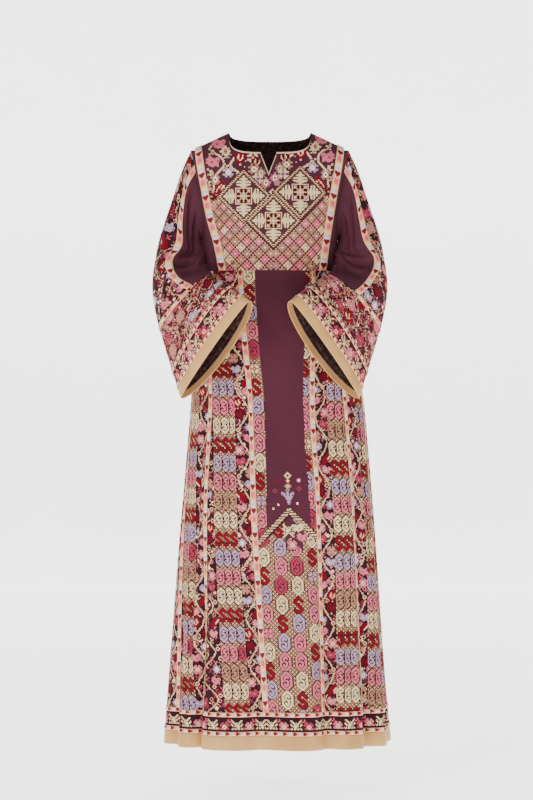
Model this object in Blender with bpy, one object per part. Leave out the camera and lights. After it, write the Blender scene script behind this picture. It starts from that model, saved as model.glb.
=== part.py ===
"""Palestinian thobe in its worn, hollow form: the cut cloth pieces and their ribbons.

Frame: metres, +Z up, the front faces -Y and +X is the wearer's left side. The origin is midway
between the two neck points of the shoulder seams, where the wearer's shoulders hold the dress.
"drop" is always the distance below that level. In names, "left" and "right" are as seen by
someone who stands in front of the dress, so that "right" is at +X.

Each piece is a closed wall of cloth. A few grids of points give the form: bodice front and back,
one sleeve a side, and the skirt. A panel takes a block of its grid's cells, and a ribbon takes
the cells that it covers, moved out past the panel's wall.
"""

import bpy
import numpy as np

MM = 0.001

# Cloth
WALL = 1.5 * MM
RIBBON_WALL = 1.0 * MM
SEAM_GAP = 0.4 * MM

# Bodice
NECK_HALF = 0.095
SHOULDER_TIP_X = 0.184
SHOULDER_TIP_DROP = 0.042
SHOULDER_SLOPE = SHOULDER_TIP_DROP / (SHOULDER_TIP_X - NECK_HALF)
SHOULDER_ROUND = 0.050
SEAM_Y = 0.008
ROUNDNESS = 2.4
NECK_FRONT_DROP = 0.050
NECK_FRONT_SQUARE = 4.0
NECK_BACK_DROP = 0.018
NECK_BACK_SQUARE = 3.0
SLIT_X = -0.003
SLIT_HALF = 0.0184
SLIT_LENGTH = 0.049
BINDING = 0.004
SLIT_BINDING = 0.009
UNDERARM_DROP = 0.250
WAIST_DROP = 0.327
CHEST_RIBBON_HALF = 0.0085

# Sleeves
SLEEVE_RIBBON_HALF = 0.008
CUFF_BAND = 0.024
CUFF_RIBBON = 0.008
CUFF_FLORAL = 0.031
CUFF_ZONE = CUFF_BAND + CUFF_RIBBON + CUFF_FLORAL + CUFF_RIBBON
BELL_RIBBON_REACH = 3

# Skirt
HEM_DROP = 1.424
HEM_BAND = 0.033
HEM_RIBBON = 0.010
HEM_FLORAL = 0.033
SKIRT_RIBBON_HALF = 0.006
FOLD_GROWTH = 1.4


def table(names, rows):
    """A short table as a dict with one array for each named column."""
    return dict(zip(names.split(), np.array(rows, dtype=float).T))


# Half width, and the depths in front of and behind the side seams.
TORSO = table(
    "drop half_width front back",
    (
        (0.000, 0.192, 0.040, 0.045),
        (0.050, 0.189, 0.062, 0.075),
        (0.100, 0.177, 0.085, 0.092),
        (0.160, 0.166, 0.106, 0.098),
        (0.220, 0.159, 0.118, 0.096),
        (0.280, 0.156, 0.119, 0.092),
        (0.327, 0.155, 0.115, 0.092),
    ),
)

# The chest ribbon's middle line, and how far the pair of them drifts towards +X.
CHEST_RIBBON = table(
    "drop half_width drift",
    (
        (0.035, 0.1660, -0.001),
        (0.085, 0.1585, -0.001),
        (0.133, 0.1500, -0.001),
        (0.200, 0.138, 0.000),
        (0.270, 0.1235, 0.004),
        (0.327, 0.1145, 0.006),
    ),
)

ARMHOLE = table(
    "drop x",
    (
        (0.042, 0.1840),
        (0.062, 0.1795),
        (0.085, 0.1750),
        (0.125, 0.1675),
        (0.165, 0.1605),
        (0.205, 0.1555),
        (0.235, 0.1550),
        (0.250, 0.1575),
    ),
)

# Rows down the armhole, then down the side seam. Rows 3 and 4 are the edges of the sleeve's
# border ribbon, where it meets the armhole.
SIDE_DROPS = (0.042, 0.053, 0.065, 0.077, 0.093, 0.130, 0.170, 0.210, 0.250, 0.285, 0.327)
UNDERARM_ROW = SIDE_DROPS.index(UNDERARM_DROP)
BORDER_ROW = 4

# Cells across a side panel, and from the armhole to the shoulder seam's neck point.
SIDE_CELLS = 3
SHOULDER_CELLS = SIDE_CELLS + 3

# Sleeve sections from the armhole to the cuff, for the +X side: the outer and lower line, the
# inner and upper line, the reach of the cloth in front of and behind the line between them,
# how far the section turns to face the middle, and where the border ribbon runs round it.
SLEEVE = table(
    "outer_x outer_y outer_z inner_x inner_y inner_z front back turn border_right border_left",
    (
        (0.206, 0.006, -0.092, 0.164, 0.012, -0.257, 0.040, 0.036, 0, 56, 56),
        (0.232, 0.004, -0.170, 0.167, 0.005, -0.271, 0.048, 0.042, 0, 67, 74),
        (0.254, 0.000, -0.240, 0.167, -0.012, -0.288, 0.054, 0.044, 0, 78, 96),
        (0.266, -0.004, -0.305, 0.163, -0.042, -0.306, 0.058, 0.046, 3, 72, 90),
        (0.2665, -0.014, -0.368, 0.154, -0.084, -0.322, 0.056, 0.040, 9, 97, 108),
        (0.258, -0.038, -0.430, 0.138, -0.128, -0.335, 0.050, 0.040, 16, 107, 121),
        (0.243, -0.070, -0.490, 0.115, -0.170, -0.352, 0.042, 0.046, 22, 116, 128),
        (0.226, -0.108, -0.548, 0.086, -0.212, -0.374, 0.030, 0.055, 28, 118, 130),
        (0.202, -0.152, -0.622, 0.047, -0.248, -0.404, 0.016, 0.062, 32, 118, 130),
    ),
)

# Rows down a sleeve, as shares of the way to the cuff. The inset ends at row 8, and the short
# ribbon across the bell lies between rows 8 and 9.
SLEEVE_ROWS = (0.0, 0.1, 0.2, 0.3, 0.41, 0.51, 0.60, 0.69, 0.785, 0.807, 0.91, 1.0)
INSET_END = 8

# Skirt sections: half width, depths, and the middle's shift towards +X.
SKIRT = table(
    "drop half_width front back shift",
    (
        (0.327, 0.155, 0.115, 0.092, 0.000),
        (0.400, 0.168, 0.120, 0.105, 0.004),
        (0.500, 0.186, 0.132, 0.122, 0.010),
        (0.625, 0.201, 0.145, 0.138, 0.017),
        (0.740, 0.2125, 0.156, 0.150, 0.018),
        (0.970, 0.2345, 0.176, 0.170, 0.018),
        (1.200, 0.2530, 0.195, 0.190, 0.018),
        (1.424, 0.2710, 0.212, 0.209, 0.018),
    ),
)

# Fold valleys round the skirt: angle from the front towards +X and half width in degrees,
# depth at the hem, the drop where it starts, and how far its +X edge leans over it.
FOLDS = table(
    "angle width depth start lean",
    (
        (-41, 7.0, 0.045, 0.80, 0.020),
        (-5, 8.0, 0.030, 0.55, 0.004),
        (23, 7.0, 0.034, 0.60, -0.006),
        (51.5, 7.0, 0.036, 0.62, -0.006),
        (80, 8.0, 0.034, 0.58, 0.006),
        (107, 7.5, 0.040, 0.50, -0.006),
        (133, 8.0, 0.036, 0.45, 0.008),
        (160, 7.0, 0.042, 0.50, 0.006),
        (188, 7.5, 0.038, 0.42, -0.008),
        (214, 7.0, 0.042, 0.52, -0.006),
        (241, 8.0, 0.036, 0.48, 0.006),
        (268, 7.0, 0.038, 0.56, 0.006),
        (293, 8.0, 0.032, 0.60, -0.006),
    ),
)

# Skirt seams, in order round from the front middle's left side: angles at five drops.
SEAM_DROPS = (0.327, 0.600, 0.870, 1.120, 1.424)
SKIRT_SEAMS = {
    "front_left": (-22.0, -15.0, -11.0, -7.0, -2.5),
    "front_right": (36.0, 19.8, 20.0, 19.8, 19.0),
    "fore_right": (56.0, 47.0, 47.0, 45.8, 45.0),
    "side_right": (82.0, 76.0, 75.0, 74.0, 74.0),
    "rear_right": (112.0, 110.0, 109.0, 108.0, 108.0),
    "back_right": (146.0, 145.0, 145.0, 145.0, 145.0),
    "back_left": (196.0, 200.0, 203.0, 206.0, 208.0),
    "rear_left": (244.0, 246.0, 247.0, 248.0, 248.0),
    "side_left": (278.0, 284.0, 286.0, 288.0, 290.0),
    "fore_left": (304.0, 313.5, 316.0, 320.0, 327.0),
}
GORES = (
    "front_middle", "front_right", "side_front_right", "side_back_right", "back_right",
    "back_middle", "back_left", "side_back_left", "side_front_left", "front_left",
)
GORE_COLUMNS = 5
GORE_ROWS = (0.0, 0.08, 0.20, 0.35, 0.51, 0.67, 0.83, 1.0)

COLOURS = {
    "plum": (0.146, 0.052, 0.072),
    "stitched": (0.36, 0.20, 0.19),
    "satin": (0.68, 0.48, 0.27),
    "ribbon": (0.78, 0.42, 0.32),
    "binding": (0.62, 0.50, 0.36),
}
ROUGHNESS = {"plum": 0.75, "stitched": 0.85, "satin": 0.42, "ribbon": 0.55, "binding": 0.6}


def curve(x, xs, ys):
    """Cubic curve through the rows (xs, ys), its slope at a row set by the rows beside it."""
    x = np.asarray(x, dtype=float)
    slopes = np.gradient(ys, xs, axis=0)
    i = np.clip(np.searchsorted(xs, x) - 1, 0, len(xs) - 2)
    spread = x.shape + (1,) * (np.ndim(ys) - 1)
    step = (xs[i + 1] - xs[i]).reshape(spread)
    t = np.clip((x - xs[i]) / (xs[i + 1] - xs[i]), 0, 1).reshape(spread)
    start = (2 * t**3 - 3 * t**2 + 1) * ys[i] + (t**3 - 2 * t**2 + t) * step * slopes[i]
    end = (3 * t**2 - 2 * t**3) * ys[i + 1] + (t**3 - t**2) * step * slopes[i + 1]
    return start + end


def unit(vectors):
    """The vectors at length 1."""
    return vectors / np.linalg.norm(vectors, axis=-1, keepdims=True)


def torso_y(x, drop, facing):
    """Depth of the bodice: a rounded section, brought in over the shoulder by a quarter circle."""
    depth = curve(drop, TORSO["drop"], TORSO["front"] if facing < 0 else TORSO["back"])
    half = curve(drop, TORSO["drop"], TORSO["half_width"])
    across = (1 - np.clip(np.abs(x) / half, 0, 1) ** ROUNDNESS) ** (1 / ROUNDNESS)
    ridge = SHOULDER_SLOPE * np.clip(np.abs(x) - NECK_HALF, 0, None)
    over = np.clip((drop - ridge) / SHOULDER_ROUND, 0, 1)
    return SEAM_Y + facing * depth * across * np.sqrt(1 - (1 - over) ** 2)


def top_edge(x, facing):
    """Drop of the bodice's top edge: shoulder seam, neckline and, in front, the slit."""
    ridge = SHOULDER_SLOPE * np.clip(np.abs(x) - NECK_HALF, 0, None)
    deep = NECK_FRONT_DROP if facing < 0 else NECK_BACK_DROP
    square = NECK_FRONT_SQUARE if facing < 0 else NECK_BACK_SQUARE
    neck = deep * (1 - np.clip(np.abs(x) / NECK_HALF, 0, 1) ** square) ** (1 / square)
    slit = SLIT_LENGTH * np.clip(1 - np.abs(x - SLIT_X) / SLIT_HALF, 0, 1)
    return ridge + neck + (slit if facing < 0 else 0)


def chest_line(drop, side, inwards):
    """x of the chest ribbon's line on one side, moved inwards."""
    half = curve(drop, CHEST_RIBBON["drop"], CHEST_RIBBON["half_width"])
    drift = curve(drop, CHEST_RIBBON["drop"], CHEST_RIBBON["drift"])
    return side * (half - inwards) + drift


def bodice_grid(facing):
    """Points of the bodice's front (-1) or back (1), rows down and columns from -X to +X."""
    side_drops = np.array(SIDE_DROPS)
    share = (side_drops - side_drops[0]) / (WAIST_DROP - side_drops[0])
    tops = (
        -0.128, -NECK_HALF, -0.083, -0.045, SLIT_X - SLIT_HALF, SLIT_X,
        SLIT_X + SLIT_HALF, 0.045, 0.083, NECK_HALF, 0.128,
    )
    line_top = CHEST_RIBBON["half_width"][0]
    columns = []
    for side, fractions in ((-1, (0.0, 0.33, 0.66)), (1, (0.66, 0.33, 0.0))):
        panel = []
        for fraction in fractions:
            outer = side * curve(side_drops, ARMHOLE["drop"], ARMHOLE["x"])
            below = side_drops > UNDERARM_DROP
            outer[below] = side * curve(side_drops[below], TORSO["drop"], TORSO["half_width"])
            inner = chest_line(side_drops, side, -CHEST_RIBBON_HALF)
            panel.append((outer + fraction * (inner - outer), side_drops))
        edge = []
        for inwards in (-CHEST_RIBBON_HALF, CHEST_RIBBON_HALF):
            top = top_edge(side * (line_top - inwards), facing)
            drops = top + share * (WAIST_DROP - top)
            edge.append((chest_line(drops, side, inwards), drops))
        columns.append(panel + edge if side < 0 else edge[::-1] + panel)
    middle = []
    for top_x in tops:
        top = top_edge(top_x, facing)
        drops = top + share * (WAIST_DROP - top)
        if abs(top_x) <= NECK_HALF:
            in_slit = facing < 0 and abs(top_x - SLIT_X) < SLIT_HALF
            drops[1] = top + (SLIT_BINDING if in_slit else BINDING)
        left = chest_line(drops, -1, CHEST_RIBBON_HALF)
        right = chest_line(drops, 1, CHEST_RIBBON_HALF)
        place = (top_x / (line_top - CHEST_RIBBON_HALF) + 1) / 2
        middle.append((left + place * (right - left), drops))
    pairs = columns[0] + middle + columns[1]
    x = np.array([pair[0] for pair in pairs]).T
    drop = np.array([pair[1] for pair in pairs]).T
    y = torso_y(x, drop, facing)
    y[0, : SHOULDER_CELLS + 1] = SEAM_Y
    y[0, -SHOULDER_CELLS - 1 :] = SEAM_Y
    return np.stack((x, y, -drop), axis=-1)


def directions(points, axis, wraps):
    """Direction of the grid lines at each point: the mean of the steps before and after it."""
    if wraps:
        steps = unit(np.roll(points, -1, axis=axis) - points)
        return steps + np.roll(steps, 1, axis=axis)
    steps = unit(np.diff(points, axis=axis))
    first = np.take(steps, [0], axis=axis)
    last = np.take(steps, [-1], axis=axis)
    return np.concatenate((first, steps), axis=axis) + np.concatenate((steps, last), axis=axis)


def normals_of(points, outwards, wraps=False):
    """Unit normals of a grid, square to the directions along its rows and columns."""
    across = directions(points, 1, wraps)
    down = directions(points, 0, False)
    return outwards * unit(np.cross(across, down))


def sleeve_sections(side):
    """Section loops of one sleeve, without the armhole: sections by columns by xyz.

    A column keeps its place between the outer line, the border ribbon and the inner line, and
    the loop is an oval whose front and back halves have their own depths.
    """
    outer = np.stack([SLEEVE["outer_" + axis] for axis in "xyz"], axis=-1)
    inner = np.stack([SLEEVE["inner_" + axis] for axis in "xyz"], axis=-1)
    middle = (outer + inner) / 2
    reach = outer - middle
    turn = np.radians(SLEEVE["turn"])
    forward = np.stack((np.sin(turn), -np.cos(turn), np.zeros(len(turn))), axis=-1)
    axis = unit(reach)
    forward = unit(forward - (forward * axis).sum(-1, keepdims=True) * axis)
    border = np.radians(SLEEVE["border_right" if side > 0 else "border_left"])
    half = np.linalg.norm(reach, axis=-1)
    speed = np.hypot(half * np.sin(border), SLEEVE["front"] * np.cos(border))
    ribbon = SLEEVE_RIBBON_HALF / speed
    over = np.linspace(0, 1, BORDER_ROW)
    under = np.linspace(0, 1, UNDERARM_ROW - BORDER_ROW + 1)
    loop = [fraction * (border - ribbon) for fraction in over]
    loop += [border + ribbon + fraction * (np.pi - border - ribbon) for fraction in under]
    loop += [2 * np.pi - angle for angle in loop[-2:0:-1]]
    angle = np.array(loop).T
    depth = np.where(np.sin(angle) > 0, SLEEVE["front"][:, None], SLEEVE["back"][:, None])
    points = (
        middle[:, None]
        + reach[:, None] * np.cos(angle)[..., None]
        + forward[:, None] * (depth * np.sin(angle))[..., None]
    )
    points[..., 0] *= side
    return points


def sleeve_grid(side, front, back):
    """Points of one sleeve, rows from armhole to cuff and columns round from the shoulder.

    Each column is a smooth curve from the bodice's armhole through the sections. Its last rows
    are at fixed lengths from the cuff's edge, so the bands there are parallel.
    """
    edge = -1 if side > 0 else 0
    armhole = np.concatenate(
        (front[: UNDERARM_ROW + 1, edge], back[UNDERARM_ROW - 1 : 0 : -1, edge])
    )
    sections = np.concatenate((armhole[None], sleeve_sections(side)))
    fine = np.linspace(0, len(sections) - 1, 181)
    paths = curve(fine, np.arange(len(sections), dtype=float), sections)
    steps = np.linalg.norm(np.diff(paths, axis=0), axis=-1)
    length = np.concatenate((np.zeros((1, paths.shape[1])), np.cumsum(steps, axis=0)))
    zone_rows = np.array((
        CUFF_BAND + CUFF_RIBBON + CUFF_FLORAL, CUFF_BAND + CUFF_RIBBON, CUFF_BAND, 0.0,
    ))
    grid = np.empty((len(SLEEVE_ROWS) + len(zone_rows), paths.shape[1], 3))
    for column in range(paths.shape[1]):
        whole = length[-1, column]
        start = np.interp(whole - CUFF_ZONE, length[:, column], fine)
        spots = np.concatenate((
            np.array(SLEEVE_ROWS) * start,
            np.interp(whole - zone_rows, length[:, column], fine),
        ))
        for axis in range(3):
            grid[:, column, axis] = np.interp(spots, fine, paths[:, column, axis])
    return grid


def skirt_point(angle, drop):
    """Points of the skirt: a rounded section, drawn in and leaned over at each fold valley."""
    turn = np.radians(angle)
    growth = np.zeros(turn.shape)
    lean = np.zeros(turn.shape)
    for row in zip(*FOLDS.values()):
        valley, width, depth, start, side = row
        grown = np.clip((drop - start) / (HEM_DROP - start), 0, None) ** FOLD_GROWTH
        away = (angle - valley + 180) % 360 - 180
        growth += depth * grown * np.exp(-((away / width) ** 2))
        lean += side * grown * np.exp(-(((away - np.sign(side) * width) / width) ** 2))
    front = curve(drop, SKIRT["drop"], SKIRT["front"])
    back = curve(drop, SKIRT["drop"], SKIRT["back"])
    depth = np.where(np.cos(turn) > 0, front, back)
    half = curve(drop, SKIRT["drop"], SKIRT["half_width"])
    sine = np.sin(turn)
    cosine = np.cos(turn)
    x = half * np.sign(sine) * np.abs(sine) ** (2 / ROUNDNESS)
    y = -depth * np.sign(cosine) * np.abs(cosine) ** (2 / ROUNDNESS)
    x = x - growth * sine - lean * cosine
    y = y + growth * cosine - lean * sine
    shift = curve(drop, SKIRT["drop"], SKIRT["shift"])
    return np.stack((x + shift, y + SEAM_Y, -drop), axis=-1)


def skirt_grid():
    """Points of the skirt, rows down and columns round from the front's left seam."""
    top = WAIST_DROP + SEAM_GAP
    zone = HEM_BAND + HEM_RIBBON + HEM_FLORAL + HEM_RIBBON
    body = HEM_DROP - zone
    hem = (HEM_RIBBON, HEM_RIBBON + HEM_FLORAL, HEM_FLORAL + 2 * HEM_RIBBON, zone)
    drops = np.concatenate((top + np.array(GORE_ROWS) * (body - top), body + np.array(hem)))
    seams = [curve(drops, np.array(SEAM_DROPS), np.array(row)) for row in SKIRT_SEAMS.values()]
    seams.append(seams[0] + 360)
    half = curve(drops, SKIRT["drop"], SKIRT["half_width"])
    trim = np.degrees(SKIRT_RIBBON_HALF / half)
    columns = []
    for left, right in zip(seams[:-1], seams[1:]):
        shares = np.linspace(0, 1, GORE_COLUMNS)
        columns += [left + trim + share * (right - left - 2 * trim) for share in shares]
    angle = np.array(columns).T
    drop = np.broadcast_to(drops[:, None], angle.shape)
    return skirt_point(angle, drop)


def cells(grid, rows, columns, flip=False):
    """Triangles of the grid's cells in these ranges of rows and columns, which may wrap.

    Every cell is cut along the same diagonal, so that a ribbon's facets follow its panel's.
    """
    width = grid.shape[1]
    r, c = np.meshgrid(np.arange(*rows), np.arange(*columns), indexing="ij")
    near = c.ravel() % width
    far = (c.ravel() + 1) % width
    top = r.ravel() * width
    low = top + width
    first = np.stack((top + near, low + near, low + far), axis=-1)
    second = np.stack((top + near, low + far, top + far), axis=-1)
    triangles = np.concatenate((first, second))
    return triangles[:, ::-1] if flip else triangles


def wall(name, points, normals, triangles, kind, lift=0.0, thick=WALL):
    """Closed wall of cloth over the triangles, its edges drawn in by half a seam gap.

    The inner face lies at the lift along the normals and the outer one is a thickness further.
    """
    used, local = np.unique(triangles, return_inverse=True)
    local = local.reshape(triangles.shape)
    place = points.reshape(-1, 3)[used]
    normal = normals.reshape(-1, 3)[used]
    edges = np.concatenate([local[:, [k, (k + 1) % 3]] for k in range(3)]).tolist()
    twins = {(b, a) for a, b in edges}
    rim = [(a, b) for a, b in edges if (a, b) not in twins]
    start, end = np.array(rim).T
    inwards = unit(np.cross(normal[start] + normal[end], place[end] - place[start]))
    pull = np.zeros(place.shape)
    np.add.at(pull, start, inwards)
    np.add.at(pull, end, inwards)
    place += SEAM_GAP * pull / np.maximum((pull**2).sum(-1, keepdims=True), 1.0)
    inner = place + normal * lift
    outer = place + normal * (lift + thick)
    total = len(place)
    faces = local.tolist() + (local[:, ::-1] + total).tolist()
    faces += [(b, a, a + total, b + total) for a, b in rim]
    mesh = bpy.data.meshes.new(name)
    mesh.from_pydata(np.concatenate((outer, inner)).tolist(), [], faces)
    mesh.shade_smooth()
    mesh.materials.append(finish(name, kind))
    piece = bpy.data.objects.new(name, mesh)
    bpy.context.scene.collection.objects.link(piece)


def finish(name, kind):
    """The piece's own plain material."""
    material = bpy.data.materials.new(name)
    material.use_nodes = True
    shader = material.node_tree.nodes["Principled BSDF"]
    shader.inputs["Base Color"].default_value = (*COLOURS[kind], 1.0)
    shader.inputs["Roughness"].default_value = ROUGHNESS[kind]
    shader.inputs["Metallic"].default_value = 0.0
    return material


def mitre(*pairs):
    """Give grids that meet at a seam the mean of their normals there."""
    shared = unit(sum(normals[where] for normals, where in pairs))
    for normals, where in pairs:
        normals[where] = shared


def trim(name, points, normals, triangles, kind="ribbon", clear=SEAM_GAP):
    """A ribbon or binding on top of the panels that it covers, clear of their outer face."""
    wall(name, points, normals, triangles, kind, WALL + clear, RIBBON_WALL)


def bodice(front, back, front_normals, back_normals):
    """Chest, back and side panels, the neck bindings and the ribbons over the shoulders."""
    last = len(SIDE_DROPS) - 1
    far = front.shape[1] - 1
    panels = {
        "bodice_{}": (SIDE_CELLS, far - SIDE_CELLS),
        "side_{}_left": (0, SIDE_CELLS),
        "side_{}_right": (far - SIDE_CELLS, far),
    }
    neck = (SHOULDER_CELLS, far - SHOULDER_CELLS)
    for end, grid, normals in (("front", front, front_normals), ("back", back, back_normals)):
        flip = end == "back"
        for name, columns in panels.items():
            kind = "plum" if name.startswith("side") else "stitched"
            wall(name.format(end), grid, normals, cells(grid, (0, last), columns, flip), kind)
        rolled = cells(grid, (0, 1), neck, flip)
        trim("neck_binding_" + end, grid, normals, rolled, "binding", 4 * SEAM_GAP)
    both = np.concatenate((front, back))
    both_normals = np.concatenate((front_normals, back_normals))
    back_start = front.shape[0] * front.shape[1]
    for side, first in (("left", SIDE_CELLS), ("right", far - SIDE_CELLS - 1)):
        before = cells(front, (0, last), (first, first + 1))
        behind = cells(back, (0, last), (first, first + 1), flip=True)
        on_ridge = behind < back.shape[1]
        behind += np.where(on_ridge, 0, back_start)
        triangles = np.concatenate((before, behind))
        trim("ribbon_chest_" + side, both, both_normals, triangles)


def sleeve(side, grid, normals):
    """One sleeve: stitched over-arm and bell, plain inset, cuff band and the ribbons."""
    name = "right" if side > 0 else "left"
    around = grid.shape[1]
    last = grid.shape[0] - 1
    band = last - 1
    border = BORDER_ROW
    panels = {
        "sleeve": ("stitched", ((0, INSET_END), (-border, border)), ((INSET_END, band), (0, around))),
        "sleeve_inset": ("plum", ((0, INSET_END), (border, around - border))),
        "cuff_band": ("satin", ((band, last), (0, around))),
        "ribbon_sleeve_front": ("ribbon", ((0, INSET_END), (border - 1, border))),
        "ribbon_sleeve_back": ("ribbon", ((0, INSET_END), (around - border, around - border + 1))),
        "ribbon_cuff_upper": ("ribbon", ((last - 4, last - 3), (0, around))),
        "ribbon_cuff_lower": ("ribbon", ((last - 2, last - 1), (0, around))),
    }
    bell_ribbon = ((INSET_END, INSET_END + 1), (-BELL_RIBBON_REACH, BELL_RIBBON_REACH))
    panels["ribbon_bell"] = ("ribbon", bell_ribbon)
    for label, (kind, *blocks) in panels.items():
        triangles = np.concatenate([cells(grid, *block, flip=side > 0) for block in blocks])
        make = trim if kind == "ribbon" else wall
        make(label + "_" + name, grid, normals, triangles, kind)


def skirt(grid, normals):
    """Ten gores, a ribbon on each seam, the hem's ribbons and its satin band."""
    around = grid.shape[1]
    step = around // len(GORES)
    last = grid.shape[0] - 1
    body = len(GORE_ROWS) - 1
    for number, gore in enumerate(GORES):
        triangles = cells(grid, (0, last - 1), (number * step, (number + 1) * step))
        wall("skirt_" + gore, grid, normals, triangles, "plum" if number == 0 else "stitched")
    for number, seam in enumerate(SKIRT_SEAMS):
        triangles = cells(grid, (0, body), (number * step - 1, number * step))
        trim("ribbon_skirt_" + seam, grid, normals, triangles)
    for label, row in (("upper", body), ("lower", last - 2)):
        trim("ribbon_hem_" + label, grid, normals, cells(grid, (row, row + 1), (0, around)))
    half = around // 2
    front_start = -((half - step) // 2)
    for label, start in (("front", front_start), ("back", front_start + half)):
        triangles = cells(grid, (last - 1, last), (start, start + half))
        wall("hem_band_" + label, grid, normals, triangles, "satin")


def main():
    """Build every piece from the four grids, once their normals agree at the seams."""
    for thing in list(bpy.data.objects):
        bpy.data.objects.remove(thing, do_unlink=True)
    front = bodice_grid(-1)
    back = bodice_grid(1)
    front_normals = normals_of(front, -1)
    back_normals = normals_of(back, 1)
    neck_end = front.shape[1] - 1 - SHOULDER_CELLS
    for columns in (slice(0, SHOULDER_CELLS + 1), slice(neck_end, None)):
        mitre((front_normals, (0, columns)), (back_normals, (0, columns)))
    for edge in (0, -1):
        below = (slice(UNDERARM_ROW, None), edge)
        mitre((front_normals, below), (back_normals, below))
    for normals in (front_normals, back_normals):
        normals[-1, :, 2] = 0.0
        normals[-1] = unit(normals[-1])
    sleeves = []
    for side in (-1, 1):
        grid = sleeve_grid(side, front, back)
        normals = normals_of(grid, side, wraps=True)
        edge = -1 if side > 0 else 0
        mitre(
            (front_normals, (slice(0, UNDERARM_ROW + 1), edge)),
            (normals, (0, slice(0, UNDERARM_ROW + 1))),
        )
        mitre(
            (back_normals, (slice(UNDERARM_ROW - 1, 0, -1), edge)),
            (normals, (0, slice(UNDERARM_ROW + 1, None))),
        )
        for row in (0, UNDERARM_ROW):
            back_normals[row, edge] = normals[0, row]
        sleeves.append((side, grid, normals))
    bodice(front, back, front_normals, back_normals)
    for side, grid, normals in sleeves:
        sleeve(side, grid, normals)
    grid = skirt_grid()
    normals = normals_of(grid, -1, wraps=True)
    normals[0, :, 2] = 0.0
    normals[0] = unit(normals[0])
    skirt(grid, normals)


main()
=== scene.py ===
"""Palestinian thobe in its worn, hollow form, as cross-stitched cloth, plum crepe, satin and ribbon.

Metres, +Z up, the front faces -Y and +X is the wearer's left. "drop" is the distance below the
neck points of the shoulder seams, where the origin is. "left" and "right" in a piece's name are as
someone sees them who stands in front of the dress.

The form has three surfaces, the same ones as the frame's solids. The bodice is a superellipse whose
depth closes over the shoulders in a quarter circle. A sleeve is a row of ovals joined by smooth
curves from the armhole to the cuff. The skirt is a superellipse drawn in at each fold. Every piece
is a thin closed shell over a part of one of them.

Stitched pieces have one small face for each cross stitch. A chart says which thread each stitch
is worked in: motifs listed as small charts, vines and lattices are put on it by the chart functions.
"""

import bmesh
import bpy
import numpy as np
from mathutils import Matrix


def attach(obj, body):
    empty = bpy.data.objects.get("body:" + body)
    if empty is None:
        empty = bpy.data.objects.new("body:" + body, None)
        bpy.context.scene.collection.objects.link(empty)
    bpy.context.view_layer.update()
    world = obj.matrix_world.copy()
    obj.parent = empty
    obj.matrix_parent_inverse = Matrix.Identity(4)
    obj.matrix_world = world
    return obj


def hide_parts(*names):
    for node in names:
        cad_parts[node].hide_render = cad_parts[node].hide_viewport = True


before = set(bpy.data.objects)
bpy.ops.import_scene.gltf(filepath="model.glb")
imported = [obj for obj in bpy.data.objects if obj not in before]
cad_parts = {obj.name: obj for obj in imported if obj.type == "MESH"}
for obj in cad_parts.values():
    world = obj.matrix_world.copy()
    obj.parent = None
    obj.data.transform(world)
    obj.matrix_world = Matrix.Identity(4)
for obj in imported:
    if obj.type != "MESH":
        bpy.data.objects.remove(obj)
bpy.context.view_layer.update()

MM = 0.001

# Cloth, in the frame's sizes
WALL = 1.5 * MM
TRIM_LIFT = 1.9 * MM
TRIM_WALL = 1.0 * MM
RIBBON_CROWN = 0.5 * MM
BAND_LIFT = 0.2 * MM
STITCH = 2.4 * MM
CHEST_STITCH = 2.3 * MM
BACK_STITCH = 3.0 * MM
SLEEVE_STITCH = 2.7 * MM

# Bodice
NECK_HALF = 0.095
SHOULDER_SLOPE = 0.042 / (0.184 - NECK_HALF)
SHOULDER_ROUND = 0.050
SHOULDER_TIP_DROP = 0.042
SEAM_Y = 0.008
ROUNDNESS = 2.4
NECK_DROP = {-1: 0.050, 1: 0.018}
NECK_SQUARE = {-1: 4.0, 1: 3.0}
SLIT_X = -0.003
SLIT_HALF = 0.0184
SLIT_LENGTH = 0.049
UNDERARM_DROP = 0.250
WAIST_DROP = 0.327
CHEST_RIBBON_HALF = 0.0085
CHEST_REACH = 0.1665
NECK_BINDING = 0.0042
SLIT_BINDING = 0.0085
SIDES = ((-1, "left"), (1, "right"))

# Sleeves
SLEEVE_RIBBON_HALF = 0.008
CUFF_BAND = 0.024
CUFF_RIBBON = 0.008
CUFF_FLORAL = 0.031
CUFF_ZONE = CUFF_BAND + CUFF_RIBBON + CUFF_FLORAL + CUFF_RIBBON
BORDER_LOW = 3.0
BORDER_HIGH = 4.0
BORDER = (BORDER_LOW + BORDER_HIGH) / 2
HALF_ROUND = 8.0
INSET_END = 0.785
BELL_RIBBON_END = 0.807

# Skirt
HEM_DROP = 1.424
HEM_BAND = 0.033
HEM_RIBBON = 0.010
HEM_FLORAL = 0.033
SKIRT_RIBBON_HALF = 0.006
FOLD_GROWTH = 1.4

# Repeat of the woven ribbons
HEART_PITCH = 0.055
HEM_PITCH = 0.023
CUFF_PITCH = 0.016


def table(names, rows):
    """A short table as a dict with one array for each named column."""
    return dict(zip(names.split(), np.array(rows, dtype=float).T))


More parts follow.
